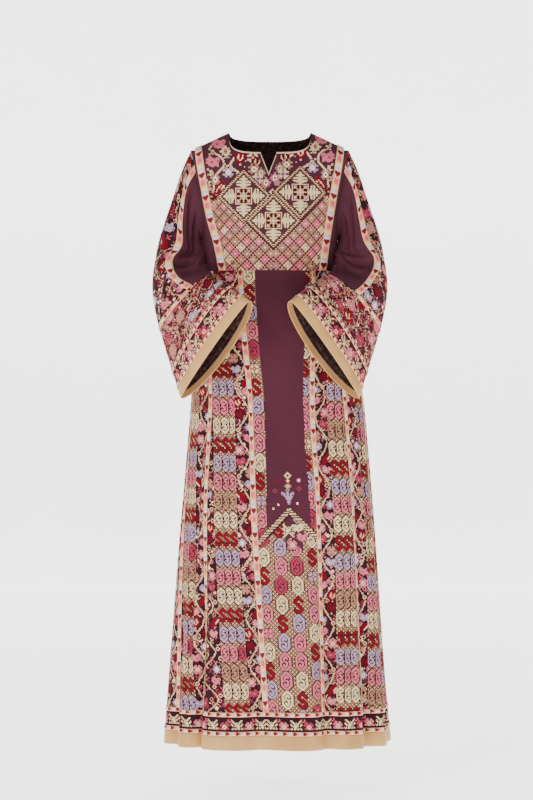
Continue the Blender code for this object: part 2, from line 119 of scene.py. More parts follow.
TORSO = table("drop half_width front back", (
    (0.000, 0.192, 0.040, 0.045),
    (0.050, 0.189, 0.062, 0.075),
    (0.100, 0.177, 0.085, 0.092),
    (0.160, 0.166, 0.106, 0.098),
    (0.220, 0.159, 0.118, 0.096),
    (0.280, 0.156, 0.119, 0.092),
    (0.327, 0.155, 0.115, 0.092),
))
CHEST_RIBBON = table("drop half_width drift", (
    (0.035, 0.1660, -0.001),
    (0.085, 0.1585, -0.001),
    (0.133, 0.1500, -0.001),
    (0.200, 0.138, 0.000),
    (0.270, 0.1235, 0.004),
    (0.327, 0.1145, 0.006),
))
ARMHOLE = table("drop x", (
    (0.042, 0.1840),
    (0.062, 0.1795),
    (0.085, 0.1750),
    (0.125, 0.1675),
    (0.165, 0.1605),
    (0.205, 0.1555),
    (0.235, 0.1550),
    (0.250, 0.1575),
))
ARMHOLE_DROPS = (0.042, 0.053, 0.065, 0.077, 0.093, 0.130, 0.170, 0.210, 0.250)
SLEEVE = table("outer_x outer_y outer_z inner_x inner_y inner_z front back turn border_right border_left", (
    (0.206, 0.006, -0.092, 0.164, 0.012, -0.257, 0.040, 0.036, 0, 56, 56),
    (0.232, 0.004, -0.170, 0.167, 0.005, -0.271, 0.048, 0.042, 0, 67, 74),
    (0.254, 0.000, -0.240, 0.167, -0.012, -0.288, 0.054, 0.044, 0, 78, 96),
    (0.266, -0.004, -0.305, 0.163, -0.042, -0.306, 0.058, 0.046, 3, 72, 90),
    (0.2665, -0.014, -0.368, 0.154, -0.084, -0.322, 0.056, 0.040, 9, 97, 108),
    (0.258, -0.038, -0.430, 0.138, -0.128, -0.335, 0.050, 0.040, 16, 107, 121),
    (0.243, -0.070, -0.490, 0.115, -0.170, -0.352, 0.042, 0.046, 22, 116, 128),
    (0.226, -0.108, -0.548, 0.086, -0.212, -0.374, 0.030, 0.055, 28, 118, 130),
    (0.202, -0.152, -0.622, 0.047, -0.248, -0.404, 0.016, 0.062, 32, 118, 130),
))
SKIRT = table("drop half_width front back shift", (
    (0.327, 0.155, 0.115, 0.092, 0.000),
    (0.400, 0.168, 0.120, 0.105, 0.004),
    (0.500, 0.186, 0.132, 0.122, 0.010),
    (0.625, 0.201, 0.145, 0.138, 0.017),
    (0.740, 0.2125, 0.156, 0.150, 0.018),
    (0.970, 0.2345, 0.176, 0.170, 0.018),
    (1.200, 0.2530, 0.195, 0.190, 0.018),
    (1.424, 0.2710, 0.212, 0.209, 0.018),
))
FOLDS = table("angle width depth start lean", (
    (-41, 7.0, 0.045, 0.80, 0.020),
    (-5, 8.0, 0.030, 0.55, 0.004),
    (23, 7.0, 0.034, 0.60, -0.006),
    (51.5, 7.0, 0.036, 0.62, -0.006),
    (80, 8.0, 0.034, 0.58, 0.006),
    (107, 7.5, 0.040, 0.50, -0.006),
    (133, 8.0, 0.036, 0.45, 0.008),
    (160, 7.0, 0.042, 0.50, 0.006),
    (188, 7.5, 0.038, 0.42, -0.008),
    (214, 7.0, 0.042, 0.52, -0.006),
    (241, 8.0, 0.036, 0.48, 0.006),
    (268, 7.0, 0.038, 0.56, 0.006),
    (293, 8.0, 0.032, 0.60, -0.006),
))
SEAM_DROPS = (0.327, 0.600, 0.870, 1.120, 1.424)
SKIRT_SEAMS = {
    "front_left": (-22.0, -15.0, -11.0, -7.0, -2.5),
    "front_right": (36.0, 19.8, 20.0, 19.8, 19.0),
    "fore_right": (56.0, 47.0, 47.0, 45.8, 45.0),
    "side_right": (82.0, 76.0, 75.0, 74.0, 74.0),
    "rear_right": (112.0, 110.0, 109.0, 108.0, 108.0),
    "back_right": (146.0, 145.0, 145.0, 145.0, 145.0),
    "back_left": (196.0, 200.0, 203.0, 206.0, 208.0),
    "rear_left": (244.0, 246.0, 247.0, 248.0, 248.0),
    "side_left": (278.0, 284.0, 286.0, 288.0, 290.0),
    "fore_left": (304.0, 313.5, 316.0, 320.0, 327.0),
}
GORES = (
    "front_middle", "front_right", "side_front_right", "side_back_right", "back_right",
    "back_middle", "back_left", "side_back_left", "side_front_left", "front_left",
)

# Soft creases on the skirt: angle and half width in degrees, depth, and the drops of its ends.
SKIRT_CREASES = table("angle width depth start end", (
    (-14, 2.6, 0.0059, 0.36, 0.95),
    (8, 3.0, 0.0051, 0.70, 1.50),
    (31, 3.2, 0.0076, 0.42, 1.10),
    (37, 2.4, 0.0068, 0.90, 1.50),
    (-29, 3.0, 0.0076, 0.45, 1.05),
    (-52, 2.8, 0.0068, 0.60, 1.50),
    (64, 3.2, 0.0085, 0.40, 1.20),
    (93, 3.6, 0.0068, 0.70, 1.50),
    (120, 3.2, 0.0085, 0.38, 1.00),
    (147, 3.0, 0.0076, 0.60, 1.50),
    (174, 3.4, 0.0085, 0.36, 1.15),
    (201, 3.0, 0.0068, 0.75, 1.50),
    (228, 3.2, 0.0085, 0.40, 1.05),
    (255, 3.4, 0.0076, 0.60, 1.50),
    (281, 3.0, 0.0068, 0.42, 1.20),
    (306, 2.8, 0.0076, 0.70, 1.50),
))

# Creases on a sleeve, from one place to another on it: round it (0 is the outer line, 4 the front
# border, 8 the underarm) and down it (0 armhole, 1 cuff bands), with half width and depth. A
# depth below zero is a swelling: the cloth under the arm hangs against the bodice there.
SLEEVE_CREASES = table("round_0 down_0 round_1 down_1 width depth", (
    (4.7, 0.04, 5.7, 0.42, 0.40, 0.009),
    (5.9, 0.06, 6.5, 0.44, 0.36, 0.011),
    (4.3, 0.45, 6.9, 0.40, 0.30, 0.013),
    (4.0, 0.53, 7.1, 0.50, 0.28, 0.022),
    (4.3, 0.62, 7.0, 0.59, 0.34, 0.012),
    (1.6, 0.30, 3.6, 0.47, 0.60, 0.004),
    (0.4, 0.42, 3.0, 0.56, 0.70, 0.004),
    (1.8, 0.72, 2.4, 1.00, 0.90, 0.005),
    (4.6, 0.80, 4.9, 1.02, 0.90, 0.005),
    (-1.6, 0.55, -2.2, 0.95, 0.90, 0.006),
    (7.5, 0.10, 7.6, 0.56, 1.1, -0.019),
    (7.5, 0.32, 7.5, 0.64, 0.9, -0.007),
    (-7.5, 0.10, -7.6, 0.56, 1.1, -0.019),
    (-7.5, 0.32, -7.5, 0.64, 0.9, -0.007),
    (-4.5, 0.15, -5.6, 0.50, 0.60, 0.008),
    (-6.4, 0.20, -6.8, 0.60, 0.60, 0.007),
    (-3.9, 0.52, -7.0, 0.50, 0.50, 0.008),
    (-5.0, 0.75, -5.2, 1.00, 0.90, 0.006),
))

# Troughs in the plain side panels: drop where deepest, reach up and down, place across from the
# armhole (0) to the ribbon (1), half width and depth.
SIDE_CREASES = table("drop reach place width depth", (
    (0.250, 0.110, 0.62, 0.16, 0.006),
    (0.180, 0.070, 0.86, 0.10, 0.002),
))

# Threads, in the order of the yarn palette. The first two are the bare cloth.
THREADS = {
    "plum": "4C2230",
    "dark": "2E111A",
    "brown": "38191B",
    "cream": "E2C597",
    "beige": "A97C62",
    "pink": "CE6C7A",
    "rose": "A0324A",
    "red": "80041A",
    "maroon": "54091B",
    "lavender": "AB90A8",
    "pale": "F8E5C8",
    "grey": "9C766C",
}
(
    PLUM, DARK, BROWN, CREAM, BEIGE, PINK, ROSE, RED, MAROON, LAVENDER, PALE, GREY,
) = range(len(THREADS))

LOZENGE = """
...##...
..####..
.######.
###ss###
##s##s##
#s####s#
#s##sss#
#s###s##
##s###s#
#sss##s#
#s####s#
##s##s##
###ss###
.######.
..####..
...##...
"""
SCROLL = """
...###..
..#####.
.##...##
.##...#.
.###....
..###...
...###..
....###.
.....##.
.#...##.
##...##.
.#####..
..###...
"""
WIDE_LOZENGE = """
....###....
...#####...
..###s###..
.###s#s###.
###s###s###
##s#####s##
##s##s##s##
##s##ssss##
###s###s###
####s###s##
##ssss##s##
##s##s##s##
##s#####s##
###s###s###
.###s#s###.
..###s###..
...#####...
....###....
"""
WIDE_SCROLL = """
...####...
..######..
.###..###.
.##....##.
.##.....#.
.###......
..####....
...####...
....####..
......###.
.#.....##.
.##....##.
.###..###.
..######..
...####...
"""
LEAF = """
..##......
.####..##.
##########
.#######s#
###ss####.
.########.
..#######.
....##..#.
"""
BLOSSOM = """
..##.##..
.###.###.
####s####
###sss###
..ssdss..
###sss###
####s####
.###.###.
..##.##..
"""
TULIP = """
..##..#..
.####.##.
.##s####.
###s##s##
##ss##s##
##s##ss##
.##s#s##.
.###s###.
..#####..
...###...
....d....
....d....
"""
FEATHER = """
......###.
.....#####
....##s##d
...##s##dd
..##s##dd.
.##s##dd..
.#s###d...
##s###....
#s###.....
####......
.##.......
"""
STAR = """
....#....
.#.###.#.
..##s##..
.##sss##.
###sds###
.##sss##.
..##s##..
.#.###.#.
....#....
"""
TWIG = """
#....
.#.##
..##.
..#..
##.#.
....#
"""
BUD = """
.##.
#ss#
#ss#
.##.
"""
BRANCH = """
##.......##
.##.....##.
..##.#.##..
#..##.##..#
##..###..##
.#######.#.
...###.....
.#.###.#.#.
##.##.##.##
..##...##..
.##.....##.
##.......##
"""
VASE = """
.....##.....
....#..#....
.....##.....
##...##...##
####.##.####
#.##.##.##.#
..##.##.##..
...########.
....######..
....######..
.....####...
......##....
.....####...
......##....
......##....
"""
GEM = """
...#...
..###..
.##s##.
##sss##
.##s##.
..###..
...#...
"""


def curve(x, xs, ys):
    """Cubic curve through the rows (xs, ys), its slope at a row set by the rows beside it."""
    x = np.asarray(x, dtype=float)
    xs = np.asarray(xs, dtype=float)
    ys = np.asarray(ys, dtype=float)
    slopes = np.gradient(ys, xs, axis=0)
    i = np.clip(np.searchsorted(xs, x) - 1, 0, len(xs) - 2)
    spread = x.shape + (1,) * (np.ndim(ys) - 1)
    step = (xs[i + 1] - xs[i]).reshape(spread)
    t = np.clip((x - xs[i]) / (xs[i + 1] - xs[i]), 0, 1).reshape(spread)
    start = (2 * t**3 - 3 * t**2 + 1) * ys[i] + (t**3 - 2 * t**2 + t) * step * slopes[i]
    end = (3 * t**2 - 2 * t**3) * ys[i + 1] + (t**3 - t**2) * step * slopes[i + 1]
    return start + end


def unit(vectors):
    """The vectors at length 1."""
    return vectors / np.maximum(np.linalg.norm(vectors, axis=-1, keepdims=True), 1e-12)


def run_length(points, axis=0):
    """Length from the first point of each line to each of its points, summed along the axis."""
    steps = np.linalg.norm(np.diff(points, axis=axis), axis=-1)
    ends = [(1, 0) if k == axis else (0, 0) for k in range(steps.ndim)]
    return np.cumsum(np.pad(steps, ends), axis=axis)


def torso_y(x, drop, facing):
    """Depth of the bodice: a superellipse, brought in over the shoulder by a quarter circle."""
    depth = curve(drop, TORSO["drop"], TORSO["front"] if facing < 0 else TORSO["back"])
    half = curve(drop, TORSO["drop"], TORSO["half_width"])
    across = (1 - np.clip(np.abs(x) / half, 0, 1) ** ROUNDNESS) ** (1 / ROUNDNESS)
    ridge = SHOULDER_SLOPE * np.clip(np.abs(x) - NECK_HALF, 0, None)
    over = np.clip((drop - ridge) / SHOULDER_ROUND, 0, 1)
    return SEAM_Y + facing * depth * across * np.sqrt(1 - (1 - over) ** 2)


def top_edge(x, facing):
    """Drop of the bodice's top edge: shoulder seam, neckline and, in front, the slit."""
    ridge = SHOULDER_SLOPE * np.clip(np.abs(x) - NECK_HALF, 0, None)
    square = NECK_SQUARE[facing]
    neck = (1 - np.clip(np.abs(x) / NECK_HALF, 0, 1) ** square) ** (1 / square)
    slit = SLIT_LENGTH * np.clip(1 - np.abs(x - SLIT_X) / SLIT_HALF, 0, 1)
    return ridge + NECK_DROP[facing] * neck + (slit if facing < 0 else 0)


def chest_line(drop, side, inwards=0.0):
    """x of the chest ribbon's line on one side, moved inwards."""
    half = curve(drop, CHEST_RIBBON["drop"], CHEST_RIBBON["half_width"])
    drift = curve(drop, CHEST_RIBBON["drop"], CHEST_RIBBON["drift"])
    return side * (half - inwards) + drift


def side_line(drop, side):
    """x of the armhole's edge and, below it, of the side seam."""
    armhole = curve(drop, ARMHOLE["drop"], ARMHOLE["x"])
    below = curve(drop, TORSO["drop"], TORSO["half_width"])
    return side * np.where(drop < UNDERARM_DROP, armhole, below)


def bodice_points(x, drop, facing):
    """Points of the bodice at x and drop."""
    return np.stack(np.broadcast_arrays(x, torso_y(x, drop, facing), -drop), axis=-1)


def bodice_normals(x, drop, facing):
    """Outward unit normals of the bodice, from small steps across and down it."""
    step = 0.3 * MM
    low = np.maximum(drop, top_edge(x, 1) + 2 * step)
    across = bodice_points(x + step, low, facing) - bodice_points(x - step, low, facing)
    down = bodice_points(x, low + step, facing) - bodice_points(x, low - step, facing)
    return facing * unit(np.cross(across, down))


def skirt_points(angle, drop):
    """Points of the skirt: a superellipse, drawn in and leaned over at each fold and crease."""
    turn = np.radians(angle)
    growth = np.zeros(turn.shape)
    lean = np.zeros(turn.shape)
    for valley, width, depth, start, side in zip(*FOLDS.values()):
        grown = np.clip((drop - start) / (HEM_DROP - start), 0, None) ** FOLD_GROWTH
        away = (angle - valley + 180) % 360 - 180
        growth += depth * grown * np.exp(-((away / width) ** 2))
        lean += side * grown * np.exp(-(((away - np.sign(side) * width) / width) ** 2))
    for valley, width, depth, start, end in zip(*SKIRT_CREASES.values()):
        along = np.sin(np.pi * np.clip((drop - start) / (end - start), 0, 1))
        away = (angle - valley + 180) % 360 - 180
        growth += depth * along * np.exp(-((away / width) ** 2))
    front = curve(drop, SKIRT["drop"], SKIRT["front"])
    back = curve(drop, SKIRT["drop"], SKIRT["back"])
    depth = np.where(np.cos(turn) > 0, front, back)
    half = curve(drop, SKIRT["drop"], SKIRT["half_width"])
    sine = np.sin(turn)
    cosine = np.cos(turn)
    x = half * np.sign(sine) * np.abs(sine) ** (2 / ROUNDNESS)
    y = -depth * np.sign(cosine) * np.abs(cosine) ** (2 / ROUNDNESS)
    x = x - growth * sine - lean * cosine + curve(drop, SKIRT["drop"], SKIRT["shift"])
    y = y + growth * cosine - lean * sine + SEAM_Y
    return np.stack((x, y, -drop), axis=-1)


def skirt_strip(angles, drops):
    """Points and outward normals of the skirt on rows of angles, which may span a seam."""
    drop = np.broadcast_to(drops[:, None], angles.shape)
    points = skirt_points(angles, drop)
    step = 0.05
    across = skirt_points(angles + step, drop) - skirt_points(angles - step, drop)
    rise = 0.5 * MM
    down = skirt_points(angles, drop + rise) - skirt_points(angles, drop - rise)
    return points, -unit(np.cross(across, down))


def seam_angle(seam, drops):
    """Angle of a skirt seam at these drops."""
    return curve(drops, SEAM_DROPS, SKIRT_SEAMS[seam])


class Sleeve:
    """One sleeve's surface, as a fine grid that pieces take their points from.

    "round" is the place round it: 0 on the outer line, 4 at the front border, 8 underneath, and
    negative behind. "down" is 0 at the armhole and 1 where the cuff's bands begin.
    """

    def __init__(self, side):
        self.side = side
        self.round = np.linspace(-HALF_ROUND, HALF_ROUND, 321)
        self.columns, self.fine = self.paths()
        self.length = run_length(self.columns)

    def paths(self):
        """Smooth curves from the armhole through the sections, one for each place round."""
        side = self.side
        reach_round = np.abs(self.round)
        behind = self.round < 0
        drop = np.interp(reach_round, np.arange(len(ARMHOLE_DROPS)), ARMHOLE_DROPS)
        x = curve(drop, ARMHOLE["drop"], ARMHOLE["x"])
        y = np.where(behind, torso_y(x, drop, 1), torso_y(x, drop, -1))
        armhole = np.stack((side * x, y, -drop), axis=-1)
        outer, inner = (
            np.stack([SLEEVE[end + axis] for axis in "xyz"], axis=-1) for end in ("outer_", "inner_")
        )
        middle = (outer + inner) / 2
        reach = outer - middle
        turn = np.radians(SLEEVE["turn"])
        forward = np.stack((np.sin(turn), -np.cos(turn), np.zeros(len(turn))), axis=-1)
        axis = unit(reach)
        forward = unit(forward - (forward * axis).sum(-1, keepdims=True) * axis)
        border = np.radians(SLEEVE["border_right" if side > 0 else "border_left"])
        half = np.linalg.norm(reach, axis=-1)
        speed = np.hypot(half * np.sin(border), SLEEVE["front"] * np.cos(border))
        ribbon = SLEEVE_RIBBON_HALF / speed
        knots = (0.0, BORDER_LOW, BORDER_HIGH, HALF_ROUND)
        angle = np.array([
            np.interp(reach_round, knots, (0.0, b - r, b + r, np.pi)) for b, r in zip(border, ribbon)
        ])
        angle = np.where(behind, -angle, angle)
        depth = np.where(behind, SLEEVE["back"][:, None], SLEEVE["front"][:, None])
        sections = (
            middle[:, None]
            + reach[:, None] * np.cos(angle)[..., None]
            + forward[:, None] * (depth * np.sin(angle))[..., None]
        )
        sections[..., 0] *= side
        sections = np.concatenate((armhole[None], sections))
        fine = np.linspace(0, len(sections) - 1, 361)
        return curve(fine, np.arange(len(sections)), sections), fine

    def rows(self, down, to_edge=()):
        """Points and normals of whole rows: at shares down, then at lengths from the cuff's edge."""
        points = np.empty((len(down) + len(to_edge), len(self.round), 3))
        share = np.empty(points.shape[:2])
        for column, length in enumerate(self.length.T):
            bands = np.interp(length[-1] - CUFF_ZONE, length, self.fine)
            near = np.interp(length[-1] - np.array(to_edge), length, self.fine)
            spots = np.concatenate((np.array(down) * bands, near))
            share[:, column] = spots / bands
            for axis in range(3):
                points[:, column, axis] = np.interp(spots, self.fine, self.columns[:, column, axis])
        depth = self.crease_depth(np.broadcast_to(self.round, share.shape), share)
        points -= self.wrapped_normals(points) * depth[..., None]
        return points, self.wrapped_normals(points)

    def crease_depth(self, around, down):
        """Depth of the listed creases: soft troughs along straight lines on the sleeve."""
        depth = np.zeros(around.shape)
        for r0, d0, r1, d1, width, deep in zip(*SLEEVE_CREASES.values()):
            run = np.array((r1 - r0, (d1 - d0) * 8))
            length = np.linalg.norm(run)
            run /= length
            a = (around - r0) * run[0] + (down - d0) * 8 * run[1]
            b = (around - r0) * run[1] - (down - d0) * 8 * run[0]
            beyond = np.clip(-a, 0, None) + np.clip(a - length, 0, None)
            taper = np.clip(np.sin(np.pi * np.clip(a / length, 0.0, 1.0)), 0, 1) ** 0.6
            depth += deep * taper * np.exp(-((b / width) ** 2)) * np.exp(-((beyond / 0.4) ** 2))
        return depth

    def wrapped_normals(self, points):
        """Outward normals of whole rows, whose two ends meet underneath."""
        ring = np.concatenate((points[:, -4:-1], points, points[:, 1:4]), axis=1)
        slopes = np.cross(np.gradient(ring, axis=1), np.gradient(ring, axis=0))
        return self.side * unit(slopes)[:, 3:-3]


def along_rows(points, normals, arcs, origin):
    """Points and normals at these lengths along each row, counted from the row's origin place."""
    count = len(points)
    out_points = np.empty((count, arcs.shape[1], 3))
    out_normals = np.empty_like(out_points)
    for row in range(count):
        length = run_length(points[row])
        length -= length[origin]
        for axis in range(3):
            out_points[row, :, axis] = np.interp(arcs[row], length, points[row, :, axis])
            out_normals[row, :, axis] = np.interp(arcs[row], length, normals[row, :, axis])
    return out_points, unit(out_normals)


def row_lengths(points):
    """Whole length of each row."""
    return run_length(points, 1)[:, -1]


# Shells


def subset(count, step):
    """Every step-th index, and always the last one."""
    return np.unique(np.append(np.arange(0, count, step), count - 1))


def shell(node, ending, outer, inner, looks, flip, coarse=1, wraps=False, sides=None, weld=False,
          thread=None, run=None, inner_slots=None):
    """A thin closed shell for a node: outer grid, coarser inner one, and a rim round both.

    looks are its materials: right side, wrong side and any others. thread numbers the yarn of
    each outer face. run gives the pattern map's numbers for the grid's columns and rows, else it
    counts them. sides says which rows have a rim at their two ends. inner_slots gives a material
    for each inner row.
    """
    rows, columns = outer.shape[:2]
    inner_rows = subset(rows, coarse)
    inner_columns = subset(columns, coarse)
    lining = inner[np.ix_(inner_rows, inner_columns)]
    if wraps:
        lining = lining[:, :-1]
        outer = outer[:, :-1]
    width = outer.shape[1]
    lining_width = lining.shape[1]
    offset = rows * width
    across = np.arange(columns, dtype=float) if run is None else run[0]
    down = np.arange(rows, dtype=float) if run is None else run[1]
    across = np.broadcast_to(across, (rows, columns))
    down = np.broadcast_to(np.reshape(down, (rows, -1)), (rows, columns))
    spread = np.stack(np.meshgrid(np.linspace(0, 1, rows), np.linspace(0, 1, columns), indexing="ij"))
    faces = []
    patterns = []
    bakes = []

    def quads(row_ids, column_ids, wide, start, place, size, inwards):
        r, c = np.meshgrid(np.arange(len(row_ids) - 1), np.arange(len(column_ids) - 1), indexing="ij")
        r = r.ravel()
        c = c.ravel()
        corners = ((r, c), (r + 1, c), (r + 1, c + 1), (r, c + 1))
        corners = corners[::-1] if flip != inwards else corners
        faces.append(np.stack([start + a * wide + b % wide for a, b in corners], axis=1))
        full = [(row_ids[a], column_ids[b]) for a, b in corners]
        patterns.append(np.stack([np.stack((across[at], down[at]), axis=-1) for at in full], axis=1))
        bakes.append(np.stack([
            np.stack((place + size * spread[1][at], 0.01 + 0.98 * spread[0][at]), axis=-1)
            for at in full
        ], axis=1))

    quads(np.arange(rows), np.arange(columns), width, 0, 0.01, 0.72, False)
    quads(inner_rows, inner_columns, lining_width, offset, 0.75, 0.16, True)
    quad_faces = np.concatenate(faces)
    rims = []
    rim_patterns = []
    rim_bakes = []

    def rim(outer_ids, inner_ids, picks, backwards, places, strip):
        for k in range(len(picks) - 1):
            ids = list(range(picks[k], picks[k + 1] + 1))
            near = [outer_ids[i] for i in ids] + [inner_ids[k + 1], inner_ids[k]]
            at = [places[i] for i in ids] + [places[picks[k + 1]], places[picks[k]]]
            share = [i / picks[-1] for i in ids] + [picks[k + 1] / picks[-1], picks[k] / picks[-1]]
            u = [strip] * len(ids) + [strip + 0.012] * 2
            order = slice(None, None, -1) if backwards != flip else slice(None)
            rims.append(near[order])
            rim_patterns.extend([(across[p], down[p]) for p in at][order])
            rim_bakes.extend([(a, 0.01 + 0.98 * b) for a, b in zip(u, share)][order])

    for last, strip in ((0, 0.920), (rows - 1, 0.940)):
        inner_last = 0 if last == 0 else len(inner_rows) - 1
        rim(
            [last * width + c % width for c in range(columns)],
            [offset + inner_last * lining_width + c % lining_width for c in range(len(inner_columns))],
            inner_columns, last > 0, [(last, c) for c in range(columns)], strip,
        )
    if not wraps:
        for last, strip in ((0, 0.960), (columns - 1, 0.980)):
            inner_last = 0 if last == 0 else len(inner_columns) - 1
            top, bottom = (0, rows - 1) if sides is None else sides
            kept = inner_rows[(inner_rows >= top) & (inner_rows <= bottom)]
            first = int(np.searchsorted(inner_rows, kept[0]))
            rim(
                [r * width + last for r in range(rows)],
                [offset + (first + k) * lining_width + inner_last for k in range(len(kept))],
                kept, last == 0, [(r, last) for r in range(rows)], strip,
            )
    name = f"{node}_{ending}"
    mesh = bpy.data.meshes.new(name)
    vertices = np.concatenate((outer.reshape(-1, 3), lining.reshape(-1, 3)))
    mesh.from_pydata(vertices.tolist(), [], quad_faces.tolist() + rims)
    for label, grids, tail in (("pattern", patterns, rim_patterns), ("OFBake", bakes, rim_bakes)):
        layer = mesh.uv_layers.new(name=label)
        flat = np.concatenate([part.reshape(-1, 2) for part in grids] + [np.array(tail)])
        layer.uv.foreach_set("vector", flat.ravel().astype(np.float32))
    outer_count = (rows - 1) * (columns - 1)
    inner_count = len(quad_faces) - outer_count
    slots = np.ones(len(mesh.polygons), dtype=np.int32)
    slots[:outer_count] = 0
    if inner_slots is not None:
        slots[outer_count:len(quad_faces)] = np.repeat(inner_slots, inner_count // len(inner_slots))
        slots[len(quad_faces):] = 0
    mesh.polygons.foreach_set("material_index", slots)
    stitches = np.zeros(len(mesh.polygons), dtype=np.float32)
    if thread is not None:
        stitches[:outer_count] = thread.ravel()
    mesh.attributes.new("thread", "FLOAT", "FACE").data.foreach_set("value", stitches)
    for look in looks:
        mesh.materials.append(look)
    if weld:
        work = bmesh.new()
        work.from_mesh(mesh)
        bmesh.ops.remove_doubles(work, verts=work.verts, dist=0.02 * MM)
        work.to_mesh(mesh)
        work.free()
    mesh.shade_smooth()
    mesh.update()
    piece = bpy.data.objects.new(name, mesh)
    bpy.context.scene.collection.objects.link(piece)
    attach(piece, "root")
    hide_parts(node)
    return piece


def declare(piece, points):
    """Work out the widest row, the longest column and the flat area of the points; nothing is done with
    them.
    """
    width = round(float(row_lengths(points).max()), 3)
    length = round(float(run_length(points)[-1].max()), 3)
    across = np.diff(points, axis=1)[:-1]
    down = np.diff(points, axis=0)[:, :-1]
    area = float(np.linalg.norm(np.cross(across, down), axis=-1).sum())
    whole = width * length
    area = min(max(area, 0.301 * whole), 0.999 * whole)


# Charts


def stamp(chart, motif, row, column, threads, mirrored=False, size=1.0):
    """Work a motif into the chart, its middle at row and column, in threads for "#", "s" and "d"."""
    art = np.array([list(row) for row in motif.split()])
    tall, wide = (np.arange(int(side * size)) / size for side in art.shape)
    art = art[np.ix_(tall.astype(int), wide.astype(int))]
    if mirrored:
        art = art[:, ::-1]
    r, c = np.nonzero(art != ".")
    worked = np.array([threads["#sd".index(symbol)] for symbol in art[r, c]])
    r = r + int(row) - art.shape[0] // 2
    c = c + int(column) - art.shape[1] // 2
    inside = (r >= 0) & (r < chart.shape[0]) & (c >= 0) & (c < chart.shape[1])
    chart[r[inside], c[inside]] = worked[inside]


def outlined(chart, motif, row, column, threads, mirrored=False, line=BROWN, size=1.0):
    """A motif with a line of stitches round it."""
    for dr, dc in ((-1, 0), (1, 0), (0, -1), (0, 1)):
        stamp(chart, motif, row + dr, column + dc, (line,) * 3, mirrored, size)
    stamp(chart, motif, row, column, threads, mirrored, size)


def net(rows, columns):
    """Beige net: small diamonds of brown lines with a cream dot in each."""
    r, c = np.indices((rows, columns))
    lines = ((r + c) % 4 == 0) | ((r - c) % 4 == 0)
    dots = ((r + c) % 4 == 2) & ((r - c) % 4 == 2)
    return np.where(lines, BROWN, np.where(dots, CREAM, BEIGE))


SCROLL_PITCH = 8
SCROLL_ROWS = 18
BLOCK_SCROLLS = 3
BLOCK_WIDTH = BLOCK_SCROLLS * SCROLL_PITCH
VINE_WIDTH = 16
ROW_COLOURS = (CREAM, RED, LAVENDER, PINK, CREAM, RED, LAVENDER, PINK, BEIGE)


def scroll_block(rows, phase, mirrored=False):
    """Rows of three scrolls: in solid lozenges, or every few rows bold and red on the net."""
    chart = net(rows, BLOCK_WIDTH)
    for number in range(-1, rows // SCROLL_ROWS + 2):
        middle = number * SCROLL_ROWS + phase % SCROLL_ROWS
        colour = ROW_COLOURS[(number + phase) % len(ROW_COLOURS)]
        for k in range(BLOCK_SCROLLS):
            column = k * SCROLL_PITCH + SCROLL_PITCH // 2
            if colour == RED:
                outlined(chart, SCROLL, middle, column, (RED,), mirrored)
            else:
                fill = ROSE if colour == PINK and (number + k) % 5 == 0 else colour
                outlined(chart, LOZENGE, middle, column, (fill, BROWN), mirrored)
    return chart


def vine_column(rows, columns, phase, seed, size=1.0):
    """A cream vine that winds down dark cloth, with leaves, blossoms, tulips and buds on it."""
    draw = np.random.default_rng(seed)
    chart = np.full((rows, columns), DARK)
    period = int(44 * size)
    middle = (columns - 1) / 2
    swing = max(columns * 0.32, 0.5)
    r = np.arange(rows)
    wind = middle + swing * np.sin(2 * np.pi * (r + phase) / period)
    motifs = (
        (LEAF, (PINK, ROSE)),
        (TULIP, (RED, CREAM, CREAM)),
        (LEAF, (LAVENDER, PALE)),
        (BLOSSOM, (PINK, CREAM, MAROON)),
        (TULIP, (MAROON, RED, CREAM)),
        (FEATHER, (RED, MAROON, CREAM)),
        (LEAF, (ROSE, PINK)),
        (STAR, (LAVENDER, PALE, ROSE)),
        (LEAF, (PINK, CREAM)),
        (BLOSSOM, (BEIGE, PINK, RED)),
    )
    for k in range(rows * columns // 30):
        at = (draw.integers(0, rows), draw.integers(0, columns))
        thread = (ROSE, BEIGE, MAROON, CREAM, PINK, PLUM)[k % 6]
        stamp(chart, TWIG, *at, (thread,), k % 4 < 2)
    for k in range(rows * columns // 70):
        at = (draw.integers(0, rows), draw.integers(0, columns))
        threads = ((CREAM, PINK, ROSE, BEIGE)[k % 4], (RED, PALE, MAROON)[k % 3])
        outlined(chart, BUD, *at, threads, line=DARK)
    for dc in (0, 1):
        worked = r[(r + 3 * dc) % 8 < (8 if size == 1.0 and dc == 0 else 5)]
        at = np.clip(np.round(wind[worked]).astype(int) + dc, 0, columns - 1)
        chart[worked, at] = CREAM if dc == 0 else BEIGE
    for k in range(-1, rows * 4 // period + 3):
        centre = (k + 0.5) * period / 4 - phase % period
        bend = np.sin(2 * np.pi * (centre + phase) / period)
        column = middle - np.sign(bend) * columns * (0.24 if k % 2 else 0.30)
        motif, threads = motifs[(k * 3 + seed) % len(motifs)]
        outlined(chart, motif, centre, column, threads, bend > 0, DARK, size)
        if k % 2 == 0:
            side = int(np.clip(middle + np.sign(bend) * columns * 0.38, 2, columns - 3))
            outlined(chart, BUD, centre + 3, side, (CREAM, (ROSE, RED)[k // 2 % 2]), line=DARK)
    return chart


def mottle(rows, columns, seed, threads, size=3):
    """Small uneven patches of several threads, from two layers of blurred chance."""
    draw = np.random.default_rng(seed)
    field = draw.random((rows + 2 * size, columns + 2 * size))
    for axis in (0, 1):
        for _ in range(2):
            field = (np.roll(field, 1, axis) + field + np.roll(field, -1, axis)) / 3
    field = field[size:-size, size:-size]
    order = np.argsort(np.argsort(field.ravel())).reshape(field.shape) / field.size
    return np.array(threads)[(order * len(threads)).astype(int)]


